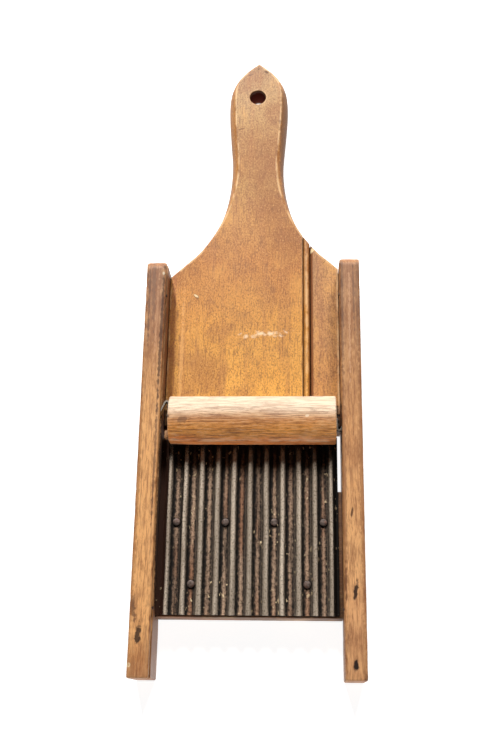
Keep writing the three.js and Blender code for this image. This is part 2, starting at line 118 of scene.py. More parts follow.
def finishMaterial(tree, inputs):
    shader = addNode(tree, "ShaderNodeBsdfPrincipled", inputs=inputs)
    addNode(tree, "ShaderNodeOutputMaterial", inputs={"Surface": shader})


def paintLayers(tree, colour, layers):
    # each layer: the pattern it follows, where that starts and is full, strength, colour, any masks;
    # returns the colour and the last layer's amount
    amount = None
    for pattern, start, full, strength, over, *masks in layers:
        amount = addNode(tree, "ShaderNodeMapRange", smoothly, {
            "Value": pattern, "From Min": start, "From Max": full, "To Max": strength})
        for mask in masks:
            amount = addNode(tree, "ShaderNodeMath", multiply, {0: amount, 1: mask})
        colour = addNode(tree, "ShaderNodeMix", mixColours, {0: amount, 6: colour, 7: over})
    return colour, amount


def speckle(tree, place, size, stretch=(1, 1, 1), detail=3.0, roughness=0.5, shift=0.0, warp=0.0):
    # noise whose features are about size millimetres, drawn out by stretch along each axis
    scaled = addNode(tree, "ShaderNodeVectorMath", multiply, {0: place, 1: [1 / (size * s) for s in stretch]})
    moved = addNode(tree, "ShaderNodeVectorMath", add, {0: scaled, 1: (shift, shift, shift)})
    return addNode(tree, "ShaderNodeTexNoise", inputs={
        "Vector": moved, "Scale": 0.5, "Detail": detail, "Roughness": roughness, "Distortion": warp})


def millimetres(tree):
    # place on the piece at rest, in millimetres
    atRest = addNode(tree, "ShaderNodeTexCoord").node.outputs["Object"]
    return addNode(tree, "ShaderNodeVectorMath", {"operation": "SCALE"}, {0: atRest, "Scale": 1 / mm})


def paintMarks(tree, place, colour, marks):
    # ragged patches; returns the colour, how deep they are and how dull
    ragged = speckle(tree, place, 1.6, detail=2.0)
    depth = dullness = 0.0
    for middle, halfSizes, turn, markColour, strength, raggedness, core, dent in marks:
        away = addNode(tree, "ShaderNodeVectorMath", subtract, {0: place, 1: middle})
        turned = addNode(tree, "ShaderNodeVectorRotate", {"rotation_type": "Z_AXIS"}, {
            "Vector": away, "Angle": math.radians(turn)})
        inHalves = addNode(tree, "ShaderNodeVectorMath", multiply, {0: turned, 1: [1 / h for h in halfSizes]})
        length = addNode(tree, "ShaderNodeVectorMath", {"operation": "LENGTH"}, {0: inHalves})
        edge = addNode(tree, "ShaderNodeMath", multiplyAdd, {
            0: ragged, 1: raggedness, 2: length.node.outputs["Value"]})
        start, full = 1.1 + raggedness / 2, core + raggedness / 2
        colour, amount = paintLayers(tree, colour, [(edge, start, full, strength, markColour)])
        depth = addNode(tree, "ShaderNodeMath", multiplyAdd, {0: amount, 1: dent, 2: depth})
        dullness = addNode(tree, "ShaderNodeMath", larger, {0: dullness, 1: amount})
    return colour, depth, dullness


# Floor and lights

stagePlan = {
    "floorHalf": 4.0,
    "floorColour": "c8c7c6",
    "glowColour": "fdfdfd",
    "floorGlow": 0.93,
    "drop": 0.5 * mm,  # keeps the slicer's back clear of the floor
    # heights are the upward share of the direction looked in
    "world": {"colour": "ffffff", "wallTop": 0.04, "ceiling": 0.3, "wallStrength": 0.75,
              "ceilingStrength": 0.02},
    "lamps": {
        # tall narrow soft boxes above the handle: sharp shadows of the rails, soft ones of the bar
        "leftLamp": {"from": (-0.42, 1.4, 1.2), "distance": 2.6, "size": (0.11, 1.1), "power": 80,
                     "colour": "fffaf4"},
        "rightLamp": {"from": (0.46, 1.4, 1.15), "distance": 2.6, "size": (0.32, 1.1), "power": 45,
                      "colour": "fffcf8"},
        "lowFill": {"from": (0.1, -1.0, 0.05), "distance": 1.8, "size": (1.0, 0.14), "power": 16,
                    "colour": "fff6ee"},
    },
}


def makeFloor(plan):
    half = plan["floorHalf"]
    corners = [(-half, -half, 0), (half, -half, 0), (half, half, 0), (-half, half, 0)]
    mesh = bpy.data.meshes.new("floor")
    mesh.from_pydata(corners, [], [(0, 1, 2, 3)])
    floor = bpy.data.objects.new("floor", mesh)
    bpy.context.scene.collection.objects.link(floor)
    floor.location.z = -plan["drop"]
    # backlit white paper: bright by itself, so that shadows on it stay faint
    material, tree = newMaterial("backlitPaper")
    finishMaterial(tree, {"Base Color": plan["floorColour"], "Roughness": 0.9,
                          "Emission Color": plan["glowColour"], "Emission Strength": plan["floorGlow"]})
    mesh.materials.append(material)


def makeLamp(name, plan):
    data = bpy.data.lights.new(name, "AREA")
    data.shape = "RECTANGLE"
    data.size, data.size_y = plan["size"]
    data.energy = plan["power"]
    data.color = hexColour(plan["colour"])[:3]
    lamp = bpy.data.objects.new(name, data)
    bpy.context.scene.collection.objects.link(lamp)
    direction = Vector(plan["from"]).normalized()
    lamp.location = direction * plan["distance"]
    lamp.rotation_euler = direction.to_track_quat("Z", "Y").to_euler()


def makeWorld(plan):
    # pale studio walls round the table and a dark ceiling over it
    world = bpy.data.worlds.new("studio")
    bpy.context.scene.world = world
    world.use_nodes = True
    tree = world.node_tree
    tree.nodes.clear()
    direction = addNode(tree, "ShaderNodeTexCoord").node.outputs["Generated"]
    height = addNode(tree, "ShaderNodeSeparateXYZ", inputs={0: direction}).node.outputs["Z"]
    strength = addNode(tree, "ShaderNodeMapRange", smoothly, {
        "Value": height, "From Min": plan["wallTop"], "From Max": plan["ceiling"],
        "To Min": plan["wallStrength"], "To Max": plan["ceilingStrength"]})
    background = addNode(tree, "ShaderNodeBackground", inputs={"Color": plan["colour"], "Strength": strength})
    addNode(tree, "ShaderNodeOutputWorld", inputs={"Surface": background})


makeFloor(stagePlan)
for lampName, lampPlan in stagePlan["lamps"].items():
    makeLamp(lampName, lampPlan)
makeWorld(stagePlan["world"])
bpy.context.scene.view_settings.view_transform = "Standard"
print("floor and lights ready")


# Mesh helpers, all in millimetres

def boxOf(node):
    # lowest and highest corner, middle and half sizes
    low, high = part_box(node)
    return low / mm, high / mm, (low + high) / 2 / mm, (high - low) / 2 / mm


def uneven(point, size, shift=0.0):
    # smooth hand-made unevenness between -1 and 1, with swells about size millimetres long
    return noise.noise(Vector(point) / size + Vector((shift, 0.37 * shift, 0)))


def ringFaces(rings):
    # walls between rings of one length, which lie one after the other in the list of points
    count = len(rings[0])
    faces = []
    for r in range(len(rings) - 1):
        for i in range(count):
            j = (i + 1) % count
            faces.append((r * count + i, r * count + j, (r + 1) * count + j, (r + 1) * count + i))
    return faces


def closedLoft(rings):
    # walls between the rings and a flat face at both ends
    count = len(rings[0])
    last = (len(rings) - 1) * count
    faces = ringFaces(rings)
    faces.append(tuple(reversed(range(count))))
    faces.append(tuple(range(last, last + count)))
    return [point for ring in rings for point in ring], faces


def makePiece(name, points, faces, material, body, nodes, wear=None, sharp=34):
    # wear is a number for each point: 1 on an arris that hands have rubbed, 0 on the flat
    mesh = bpy.data.meshes.new(name)
    mesh.from_pydata([Vector(p) * mm for p in points], [], faces)
    if wear:
        mesh.attributes.new("wear", "FLOAT", "POINT").data.foreach_set("value", wear)
    shape = bmesh.new()
    shape.from_mesh(mesh)
    bmesh.ops.remove_doubles(shape, verts=shape.verts, dist=0.002 * mm)
    bmesh.ops.recalc_face_normals(shape, faces=shape.faces)
    shape.to_mesh(mesh)
    shape.free()
    mesh.polygons.foreach_set("use_smooth", [True] * len(mesh.polygons))
    mesh.set_sharp_from_angle(angle=math.radians(sharp))
    mesh.materials.append(material)
    piece = bpy.data.objects.new(name, mesh)
    bpy.context.scene.collection.objects.link(piece)
    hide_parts(*nodes)
    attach(piece, body)


def pieceName(node):
    # the node's words in camel case
    first, *others = node.split("_")
    return first + "".join(word.capitalize() for word in others)


def makeLoft(node, stations, section, placeAt, material, body, sharp=34):
    # closed surface with a ring at each station; placeAt gives the place and the wear of each point
    rings, wear = [], []
    for station in stations:
        placed = [placeAt(*station, *corner) for corner in section]
        rings.append([place for place, _ in placed])
        wear += [rubbed for _, rubbed in placed]
    points, faces = closedLoft(rings)
    makePiece(pieceName(node), points, faces, material, body, [node], wear, sharp)


def quarterTurn(x, y, radius, start, steps):
    # rubbed arris: quarter of a circle, counterclockwise from start degrees; each point with its wear
    angles = [math.radians(start + 90 * step / steps) for step in range(steps + 1)]
    return [(x + radius * math.cos(angle), y + radius * math.sin(angle), 1.0) for angle in angles]


def roundedSection(halfAcross, halfUp, radius, steps):
    # rectangle with rounded arrises, counterclockwise
    x, y = halfAcross - radius, halfUp - radius
    points = []
    for corner, (alongX, alongY) in enumerate(((1, 1), (-1, 1), (-1, -1), (1, -1))):
        points += quarterTurn(alongX * x, alongY * y, radius, 90 * corner, steps)
    return points


# Beech, as sawn and planed timber finished with oil

def makeBeech(name, plan):
    # beech: even tan ground, short brown ray flecks along the grain, clouds of old oil and hand grime
    material, tree = newMaterial(name)
    place = millimetres(tree)
    # size in millimetres, how far it is drawn out along the grain, detail, roughness, own shift, warp;
    # ray flecks and fibres are a few tenths of a millimetre wide in the timber, drawn coarser to show
    grain = {
        "blotch": (plan["cloudSize"] * 0.3, 1.4, 5.0, 0.6, 13, 0.0),
        "cloud": (plan["cloudSize"], 1.6, 4.0, 0.55, 3, 0.0),
        "band": (plan["bandSize"], 18, 3.0, 0.55, 7, 0.3),
        "fleck": (plan["fleckSize"], plan["fleckStretch"], 5.0, 0.78, 11, 0.0),
        "fibre": (plan["fibreSize"], plan["fibreStretch"], 2.0, 0.5, 17, 0.0),
        "chip": (2.6, 2.5, 4.0, 0.6, 23, 0.0),
    }
    patterns = {}
    for pattern, (size, reach, detail, roughness, ownShift, warp) in grain.items():
        stretch = [reach if axis == plan["along"] else 1 for axis in range(3)]
        shift = ownShift + plan["shift"]
        patterns[pattern] = speckle(tree, place, size, stretch, detail, roughness, shift, warp)
    blotch, cloud, band, fleck, fibre, chip = patterns.values()

    # tone along the piece, wandering a little
    axes = addNode(tree, "ShaderNodeSeparateXYZ", inputs={0: place}).node
    low, high = plan["toneAxisRange"]
    toneWave = speckle(tree, place, 26, detail=2.0, shift=plan["shift"])
    swing = addNode(tree, "ShaderNodeMath", subtract, {0: toneWave, 1: 0.5})
    tonePlace = addNode(tree, "ShaderNodeMath", multiplyAdd, {
        0: swing, 1: plan["toneWander"], 2: axes.outputs[plan["toneAxis"]]})
    toneShare = addNode(tree, "ShaderNodeMapRange", inputs={
        "Value": tonePlace, "From Min": low, "From Max": high})
    colour = addNode(tree, "ShaderNodeValToRGB", inputs={0: toneShare})
    elements = colour.node.color_ramp.elements
    while len(elements) < len(plan["tones"]):
        elements.new(0.5)
    for element, (share, tone) in zip(elements, plan["tones"]):
        element.position = share
        element.color = hexColour(tone)

    facing = addNode(tree, "ShaderNodeSeparateXYZ", inputs={
        0: addNode(tree, "ShaderNodeNewGeometry").node.outputs["True Normal"]}).node.outputs
    # fewer flecks where the ground is pale
    plainGround = addNode(tree, "ShaderNodeMapRange", smoothly, {
        "Value": blotch, "From Min": 0.22, "From Max": 0.5})
    colour, fleckAmount = paintLayers(tree, colour, [
        # clouds where oil and water soaked in, the small ones inside the large
        (blotch, 0.5, 0.68, plan["cloudStrength"] * 0.8, plan["cloudColour"]),
        (blotch, 0.48, 0.28, plan["paleStrength"], plan["paleColour"]),
        (cloud, 0.5, 0.64, plan["cloudStrength"], plan["cloudColour"]),
        (cloud, 0.46, 0.26, plan["paleStrength"], plan["paleColour"]),
        # painted shade: sides painted darker by how far the surface turns away from the front
        (facing["Z"], 0.985, 0.9, plan["turnedShadeStrength"], plan["turnedShadeColour"]),
        (facing["Z"], 0.6, 0.2, plan["turnedShadeStrength"], plan["shadeColour"]),
        # growth bands: broad soft streaks along the grain
        (band, 0.49, 0.64, plan["bandStrength"], plan["bandColour"]),
        (fleck, 0.49, 0.62, plan["fleckStrength"], plan["fleckColour"], plainGround),
    ])
    rubbed = addNode(tree, "ShaderNodeAttribute", {"attribute_name": "wear"}).node.outputs["Fac"]
    colour, _ = paintLayers(tree, colour, [
        (fleck, 0.47, 0.34, plan["fleckStrength"] * 0.6, plan["glintColour"]),
        (fibre, 0.52, 0.7, plan["fibreStrength"], plan["fleckColour"]),
        *[(toneShare, *bleach) for bleach in plan["bleached"]],  # painted highlight on the upper share of the tone
        # rubbed arrises, pale where bare and brown where the grime stayed; the pale rub is also a painted
        # highlight along the arrises
        (chip, 0.38, 0.6, plan["rubAndHighlightStrength"], plan["rubAndHighlightColour"], rubbed),
        (chip, 0.5, 0.32, plan["soilStrength"], plan["soilColour"], rubbed),
    ])
    colour, depth, dullness = paintMarks(tree, place, colour, plan["marks"])

    # dirt and painted shade: darker where the AO node finds joints, grooves and the wood round nails, where
    # shade falls
    occlusionShade = addNode(tree, "ShaderNodeAmbientOcclusion", {"samples": 8}, {
        "Distance": plan["dirtAndShadeReach"] * mm}).node.outputs["AO"]
    colour, _ = paintLayers(tree, colour, [
        (occlusionShade, plan["dirtAndShadeStart"], 0.18, plan["dirtAndShadeStrength"], plan["dirtAndShadeColour"])])

    # fibres and flecks lie a little lower than the timber between them, bands higher
    height = 0.0
    for pattern, rise in ((fibre, -0.35), (fleckAmount, -0.35), (band, 0.8), (depth, -1.0)):
        height = addNode(tree, "ShaderNodeMath", multiplyAdd, {0: pattern, 1: rise, 2: height})
    bump = addNode(tree, "ShaderNodeBump", inputs={"Height": height, "Strength": 0.5, "Distance": 0.22 * mm})
    least, most = plan["roughness"]
    rough = addNode(tree, "ShaderNodeMapRange", inputs={
        "Value": cloud, "From Min": 0.3, "From Max": 0.7, "To Min": least, "To Max": most})
    # side walls that the runners and the bar have rubbed smoother
    across = addNode(tree, "ShaderNodeMath", {"operation": "ABSOLUTE"}, {0: facing["X"]})
    polish = addNode(tree, "ShaderNodeMapRange", smoothly, {
        "Value": across, "From Min": 0.8, "From Max": 0.95, "To Max": plan["wallPolish"]})
    rough = addNode(tree, "ShaderNodeMath", subtract, {0: rough, 1: polish})
    rough = addNode(tree, "ShaderNodeMath", larger, {0: rough, 1: dullness})
    finishMaterial(tree, {"Base Color": colour, "Roughness": rough, "Normal": bump, "IOR": 1.46})
    return material


# Handle board: outline, eased edges, bead along the right edge, hanging hole

boardPlan = {
    "half": 63.9,
    "throatY": -70.7,
    "thickness": 17,
    "shoulderY": 65.3,
    "shoulderSlope": 0.93,
    "shoulders": {-1: 48.2, 1: 55.2},
    "offset": 1.6,
    "neck": {"y": 149.3, "half": 20.35, "lowerEase": 0.73, "upperEase": 0.2},
    "bulb": {"y": 203.2, "half": 23.7, "lowerEase": 0.35, "upperEase": 0.5},
    "tip": {"x": 1.8, "y": 243.7, "reach": 19.4, "slope": 0.7},
    "outlineStep": 2.2,
    "ease": {"width": 4.6, "depth": 9, "tip": 1.3, "power": 1.8, "steps": 9},
    "backEase": {"width": 2.0, "depth": 3, "steps": 3, "arris": 0.3, "inset": 1.5, "wear": 0.5},
    # inset, drop and wear of each row of points along the front arris
    "arris": [(4.0, 0, 0.0), (1.75, 0, 0.0), (1.15, 0, 0.9), (0.35, 0.03, 1.0), (0.1, 0.16, 0.6)],
    "hole": {
        "x": 1.0, "y": 210.3, "radius": 6.6, "sides": 48,
        "slant": 1.2,  # drilled by hand, not quite square
        # growth of the radius, drop and wear of each ring down the wall
        "wall": [(1.4, 0, 0.1), (0.18, 0, 0.8), (-0.02, 0.18, 0.6), (-0.08, 0.8, 0.0), (-0.12, 8.5, 0.0),
                 (-0.12, 16.5, 0.0), (0.1, 17, 0.0)],
    },
    "bead": {"edge": 42.4, "radius": 2.45, "quirk": 0.7, "lead": 0.6, "leadDrop": 0.45, "steps": 12},
    "strip": {"edge": 42.8, "step": 0.7, "round": 2.2, "tongue": 11.0, "steps": 7},
    "seam": 0.02,  # half the joint between board and strip, and the width of a sharp step
    # depth and length of the swells
    "unevenness": (0.1, 16),
    "bruises": (0.25, 9),
    "holeUnevenness": (0.12, 1.5),
}


def halfOutline(plan, side):
    # from the throat up beside the rail and round to the tip
    neck, bulb, tip = plan["neck"], plan["bulb"], plan["tip"]
    shoulder = Vector((side * plan["shoulders"][side], plan["shoulderY"]))
    foot = Vector((side * plan["half"],
                   plan["shoulderY"] - (plan["half"] - abs(shoulder.x)) * plan["shoulderSlope"]))

    def beside(half, y):
        return Vector((plan["offset"] + side * half, y))

    rise = bulb["y"] - neck["y"]
    waist, widest = beside(neck["half"], neck["y"]), beside(bulb["half"], bulb["y"])
    end = Vector((tip["x"], tip["y"]))
    curves = [
        (shoulder, shoulder,
         beside(neck["half"], neck["y"] - neck["lowerEase"] * (neck["y"] - shoulder.y)), waist),
        (waist, beside(neck["half"], neck["y"] + neck["upperEase"] * rise),
         beside(bulb["half"], bulb["y"] - bulb["lowerEase"] * rise), widest),
        (widest, beside(bulb["half"], bulb["y"] + bulb["upperEase"] * (tip["y"] - bulb["y"])),
         end + Vector((side, -tip["slope"])) * tip["reach"], end),
    ]
    points = []
    corners = [Vector((side * plan["half"], plan["throatY"])), foot, shoulder]
    for first, second in zip(corners, corners[1:]):
        steps = max(int((second - first).length / plan["outlineStep"]), 1)
        points += [first.lerp(second, step / steps) for step in range(steps)]
    for a, b, c, d in curves:
        steps = int((d - a).length / plan["outlineStep"])
        for step in range(steps):
            t = step / steps
            s = 1 - t
            points.append(a * s ** 3 + b * 3 * s * s * t + c * 3 * s * t * t + d * t ** 3)
    points.append(end)
    return points


def smoothShare(low, high, value):
    share = min(max((value - low) / (high - low), 0), 1)
    return share * share * (3 - 2 * share)


def easeAt(plan, y):
    # how far the front arris stands in from the outline: full on the grip, none at the shoulders
    ease = plan["ease"]
    grip = smoothShare(plan["shoulderY"], plan["neck"]["y"], y)
    tip = smoothShare(plan["bulb"]["y"], plan["tip"]["y"], y)
    return ease["width"] * grip + (ease["tip"] - ease["width"]) * tip


def inwardNormals(outline):
    normals = []
    for i, point in enumerate(outline):
        along = (outline[(i + 1) % len(outline)] - outline[i - 1]).normalized()
        normals.append(Vector((-along.y, along.x)))
    return normals


def boardProfile(plan):
    # (inset along the ease, fixed inset, height, wear) from the middle of the front to the back
    ease, back, top = plan["ease"], plan["backEase"], plan["thickness"]
    profile = [(1, inset, top - drop, rubbed) for inset, drop, rubbed in plan["arris"]]
    for step in range(1, ease["steps"] + 1):
        share = 1 - step / ease["steps"]
        profile.append((share ** ease["power"], 0.0, top - ease["depth"] * (1 - share), 0.0))
    for step in range(back["steps"] + 1):
        share = step / back["steps"]
        profile.append((back["width"] / ease["width"] * share ** ease["power"],
                        back["arris"] * (share == 1), back["depth"] * (1 - share), back["wear"] * share))
    profile.append((back["width"] / ease["width"], back["inset"], 0, 0.0))
    return profile


def boardSolid(plan):
    # the whole board before it is split beside the bead: points, faces and wear
    right, left = halfOutline(plan, 1), halfOutline(plan, -1)
    outline = right + left[:-1][::-1]
    normals = inwardNormals(outline)
    depth, swell = plan["unevenness"]
    bruise, bruiseSwell = plan["bruises"]
    points, wear, rings = [], [], []
    for easeShare, inset, z, rubbed in boardProfile(plan):
        ring = []
        for place, inwards in zip(outline, normals):
            amount = easeShare * easeAt(plan, place.y) + inset
            amount += depth * (1 + uneven((place.x, place.y, 0.2 * z), swell))
            if rubbed >= 0.9:
                amount += bruise * max(uneven((place.x, place.y, 0), bruiseSwell, 4) - 0.2, 0)
            at = place + inwards * amount
            ring.append((at.x, at.y, z))
            wear.append(rubbed)
        rings.append(ring)
        points += ring
    faces = ringFaces(rings)

    hole = plan["hole"]
    depth, swell = plan["holeUnevenness"]
    holeRings = []
    for grow, drop, rubbed in hole["wall"]:
        ring = []
        for i in range(hole["sides"]):
            angle = -2 * math.pi * i / hole["sides"]
            radius = hole["radius"] + grow + depth * uneven((math.cos(angle), math.sin(angle), 0), swell)
            slant = hole["slant"] * drop / plan["thickness"]
            ring.append((hole["x"] + radius * math.cos(angle), hole["y"] - slant + radius * math.sin(angle),
                         plan["thickness"] - drop))
            wear.append(rubbed)
        holeRings.append(ring)
    firstHole = len(points)
    points += [point for ring in holeRings for point in ring]
    faces += [tuple(firstHole + i for i in face) for face in ringFaces(holeRings)]

    for ring, holeRing, ringStart, holeStart in (
            (rings[0], holeRings[0], 0, firstHole),
            (rings[-1], holeRings[-1], (len(rings) - 1) * len(outline), len(points) - hole["sides"])):
        fill = tessellate_polygon([[Vector(p) for p in ring], [Vector(p) for p in holeRing]])
        for triangle in fill:
            faces.append(tuple(
                ringStart + i if i < len(ring) else holeStart + i - len(ring) for i in triangle))
    return points, faces, wear


def cutBoard(plan, front):
    # the part of the board between the cuts, its front lowered to the height that front gives
    points, faces, wear = boardSolid(plan)
    mesh = bpy.data.meshes.new("boardInProgress")
    mesh.from_pydata(points, [], faces)
    mesh.attributes.new("wear", "FLOAT", "POINT").data.foreach_set("value", wear)
    shape = bmesh.new()
    shape.from_mesh(mesh)
    bpy.data.meshes.remove(mesh)
    bmesh.ops.recalc_face_normals(shape, faces=shape.faces)
    bmesh.ops.triangulate(shape, faces=[face for face in shape.faces if len(face.verts) > 4])
    for x, outside in front["cuts"]:
        everything = shape.verts[:] + shape.edges[:] + shape.faces[:]
        cut = bmesh.ops.bisect_plane(
            shape, geom=everything, dist=1e-4, plane_co=(x, 0, 0), plane_no=(1, 0, 0),
            clear_outer=outside == "outer", clear_inner=outside == "inner")
        if outside:
            edges = [e for e in cut["geom_cut"] if isinstance(e, bmesh.types.BMEdge)]
            bmesh.ops.holes_fill(shape, edges=edges)
    wearLayer = shape.verts.layers.float["wear"]
    for vertex in shape.verts:
        ceiling, rubbed = front["at"](vertex.co.x)
        vertex.co.z = min(vertex.co.z, ceiling)
        if vertex.co.z > plan["thickness"] * 0.7:  # the front only
            vertex[wearLayer] = max(vertex[wearLayer], rubbed)
    mesh = bpy.data.meshes.new("boardInProgress")
    shape.to_mesh(mesh)
    shape.free()
    points = [tuple(v.co) for v in mesh.vertices]
    faces = [tuple(p.vertices) for p in mesh.polygons]
    values = [0.0] * len(points)
    mesh.attributes["wear"].data.foreach_get("value", values)
    bpy.data.meshes.remove(mesh)
    return points, faces, values


def beadFront(plan):
    # flat panel, quirk and bead, up to the joint
    bead, top = plan["bead"], plan["thickness"]
    centre = bead["edge"] - bead["radius"]
    foot = centre - bead["radius"]
    quirk = foot - bead["quirk"]
    lead = quirk - bead["lead"]

    def at(x):
        if x <= lead:
            return top, 0.0
        if x <= quirk:
            share = (x - lead) / bead["lead"]
            return top - bead["leadDrop"] * share ** 3, share
        if x <= foot:
            return top - bead["radius"], 0.0
        away = min(abs(x - centre), bead["radius"])
        height = math.sqrt(bead["radius"] ** 2 - away ** 2)
        return top - bead["radius"] + height, 0.8 * (height / bead["radius"]) ** 4

    places = [lead, (lead + quirk) / 2, quirk, quirk + 3 * plan["seam"], foot]
    for step in range(1, bead["steps"]):
        places.append(centre - bead["radius"] * math.cos(math.pi * step / bead["steps"]))
    return {"cuts": [(x, None) for x in places] + [(bead["edge"] - plan["seam"], "outer")], "at": at}


def stripFront(plan):
    # a tongue under the bead's edge, then a rounded arris and the flat strip
    strip, seam = plan["strip"], plan["seam"]
    top = plan["thickness"] - strip["step"]
    centre = strip["edge"] + strip["round"]

    def at(x):
        if x >= centre:
            return top, 0.0
        if x < strip["edge"] - seam / 2:
            return strip["tongue"], 0.0
        height = math.sqrt(max(strip["round"] ** 2 - (centre - x) ** 2, 0))
        return top - strip["round"] + height, 0.7 * (1 - height / strip["round"])

    quarter = math.pi / 2 / strip["steps"]
    places = [centre - strip["round"] * math.cos(quarter * step) for step in range(1, strip["steps"] + 1)]
    places += [strip["edge"] - seam, strip["edge"] + seam]
    return {"cuts": [(x, None) for x in places] + [(plan["bead"]["edge"] + seam, "inner")], "at": at}


boardBeech = {
    "along": 1, "shift": 0.0,
    "toneAxis": 1, "toneAxisRange": (-75, 244), "toneWander": 60,
    "tones": [(0.0, "f4ba50"), (0.1, "ecac48"), (0.25, "da963a"), (0.45, "bf7c38"), (0.62, "b48241"),
              (0.85, "b48a52"), (1.0, "a17c56")],
    "cloudSize": 30, "cloudStrength": 0.58, "cloudColour": "965a2e",
    "paleStrength": 0.4, "paleColour": "dca04c",
    "turnedShadeStrength": 0.75, "turnedShadeColour": "a8681c", "shadeColour": "6c4c32",
    "bandSize": 3.0, "bandStrength": 0.35, "bandColour": "a86b3a",
    "fleckSize": 0.52, "fleckStretch": 1.6, "fleckStrength": 0.76, "fleckColour": "7e4e26",
    "glintColour": "e2b268",
    "fibreSize": 0.55, "fibreStretch": 9, "fibreStrength": 0.55,
    "rubAndHighlightStrength": 0.65, "rubAndHighlightColour": "ecc592", "soilStrength": 0.2, "soilColour": "6b4023",
    "dirtAndShadeStrength": 0.8, "dirtAndShadeColour": "4a2610", "dirtAndShadeReach": 5, "dirtAndShadeStart": 0.62,
    "roughness": (0.46, 0.62), "wallPolish": 0.0,
    "bleached": [],
    # middle, half sizes, turn in degrees, colour, strength, raggedness, where it is full, depth of the dent
    "marks": [
        # painted shade: the hanging hole's wall painted dark
        ((1.0, 210.3, 8), (9, 9, 9), 0, "6a2204", 1.0, 0.3, 0.85, 0),
        # painted shade along the handle's right edge
        ((28, 176, 8), (10.5, 74, 16), 0, "5a3416", 0.6, 0.5, 0.85, 0),
        # painted light: a pale streak along the edge of the left rail's shadow
        ((-53.2, -18, 17), (1.4, 60, 3), 0.4, "f0b468", 0.4, 2.0, 0.6, 0),
        ((41.9, 0, 15), (0.9, 200, 4), 0, "6e3610", 0.6, 0.8, 0.6, 0),
        # painted shadow of the left rail on the board
        ((-61.0, -12, 17), (3.4, 72, 3), 0, "8e4418", 0.5, 1.4, 0.6, 0),
        # painted shadow under the bar's left end
        ((-62.0, -66, 17), (4.0, 16, 5), 0, "241006", 0.9, 0.8, 0.6, 0),
        ((-43.6, 34.6, 17), (2.6, 1.7, 3), 38, "4a2c18", 0.75, 2.2, 0.6, 0),
        ((-43.6, 35.2, 17), (2.0, 1.0, 3), 38, "f2d8aa", 0.9, 2.2, 0.6, 0.5),
        ((9, 4.0, 17), (17, 2.2, 3), -3, "fae6c8", 0.7, 4.6, -0.3, 0),
        ((7.8, 234.4, 17), (2.2, 1.1, 3), 25, "5c3c2a", 0.75, 1.2, 0.6, 0.4),
        ((-4.9, 231.8, 17), (2.0, 0.9, 3), -20, "6e4a34", 0.6, 1.2, 0.6, 0),
        ((-11.4, 181.0, 17), (3.8, 0.5, 3), -16, "6e4a30", 0.7, 1.2, 0.6, 0),
        ((21.4, 100.7, 17), (4.8, 0.45, 3), -10, "8a5c34", 0.6, 1.2, 0.6, 0),
    ],
}
stripMarks = [
    ((43.6, 0, 16), (1.5, 200, 4), 0, "6e3610", 0.75, 0.8, 0.6, 0),
    # painted shadow under the bar's right end
    ((62.6, -64, 16), (3.4, 15, 5), 0, "241006", 0.92, 0.8, 0.6, 0),
    ((43.9, 73.1, 16), (1.8, 2.6, 4), 20, "f0d6a6", 0.95, 1.2, 0.6, 0.4),
]
stripBeech = dict(
    boardBeech, shift=5.0, toneAxisRange=(-75, 85),
    tones=[(0.0, "da9448"), (0.2, "cc8a4a"), (0.5, "be844c"), (1.0, "b07c4c")],
    cloudSize=22, cloudStrength=0.7, cloudColour="8a5c3c", marks=stripMarks)

for node, front, materialName, beech in (
        ("handle_board", beadFront(boardPlan), "oiledBeechBoard", boardBeech),
        ("side_strip", stripFront(boardPlan), "oiledBeechStrip", stripBeech)):
    boardPoints, boardFaces, boardWear = cutBoard(boardPlan, front)
    makePiece(pieceName(node), boardPoints, boardFaces, makeBeech(materialName, beech), "frame",
              [node], boardWear)
print("handle board and side strip ready")


# Rails: square bars with a guide groove, a crowned upper end and a plain foot

railPlan = {
    "round": 1.5,
    "roundSteps": {"back": 5, "front": 6},
    "groove": {"lip": 2.6, "width": 7, "depth": 4, "arris": 0.35},
    "crown": 8,
    "topRound": 2.3,
    "footRound": 1.2,
    "endRim": {"foot": 2.5, "top": 2.0},  # flat rim of the end faces
    "footSteps": 7,
    "topSteps": 9,
    "station": 2.2,
    "nicks": 0.22,
    "swells": (0.35, 14),  # share of the nicks and length
    "bruises": (2.2, 4.2),
    "nailStand": 0.3,  # how far the outer face lies behind the nail heads
}


def railSection(plan, halfWidth, halfDepth):
    # section of a left rail seen from its upper end, x inwards, counterclockwise, with the wear
    r, groove = plan["round"], plan["groove"]
    top = halfDepth - groove["lip"]
    bottom = top - groove["width"]
    floor = halfWidth - groove["depth"]
    a = groove["arris"]
    back, front = plan["roundSteps"]["back"], plan["roundSteps"]["front"]
    points = quarterTurn(halfWidth - r, -halfDepth + r, r, -90, back)
    points += [(halfWidth, -halfDepth + 9, 0), (halfWidth, bottom - 3, 0), (halfWidth, bottom - a, 0.6),
               (halfWidth - a, bottom, 0.9), (floor + 1, bottom, 0), (floor, bottom + 0.5, 0),
               (floor, top - 0.5, 0), (floor + 1, top, 0), (halfWidth - a, top, 0.9),
               (halfWidth, top + a, 0.8)]
    points += quarterTurn(halfWidth - r, halfDepth - r, r, 0, front)
    points += [(halfWidth - r - 2, halfDepth, 0.25), (2, halfDepth, 0), (-2, halfDepth, 0),
               (-halfWidth + r + 2, halfDepth, 0.25)]
    points += quarterTurn(-halfWidth + r, halfDepth - r, r, 90, front)
    points += [(-halfWidth, halfDepth - r - 2.5, 0.2), (-halfWidth, 6, 0), (-halfWidth, -6, 0)]
    points += quarterTurn(-halfWidth + r, -halfDepth + r, r, 180, back)
    points += [(-4, -halfDepth, 0), (4, -halfDepth, 0)]
    return points


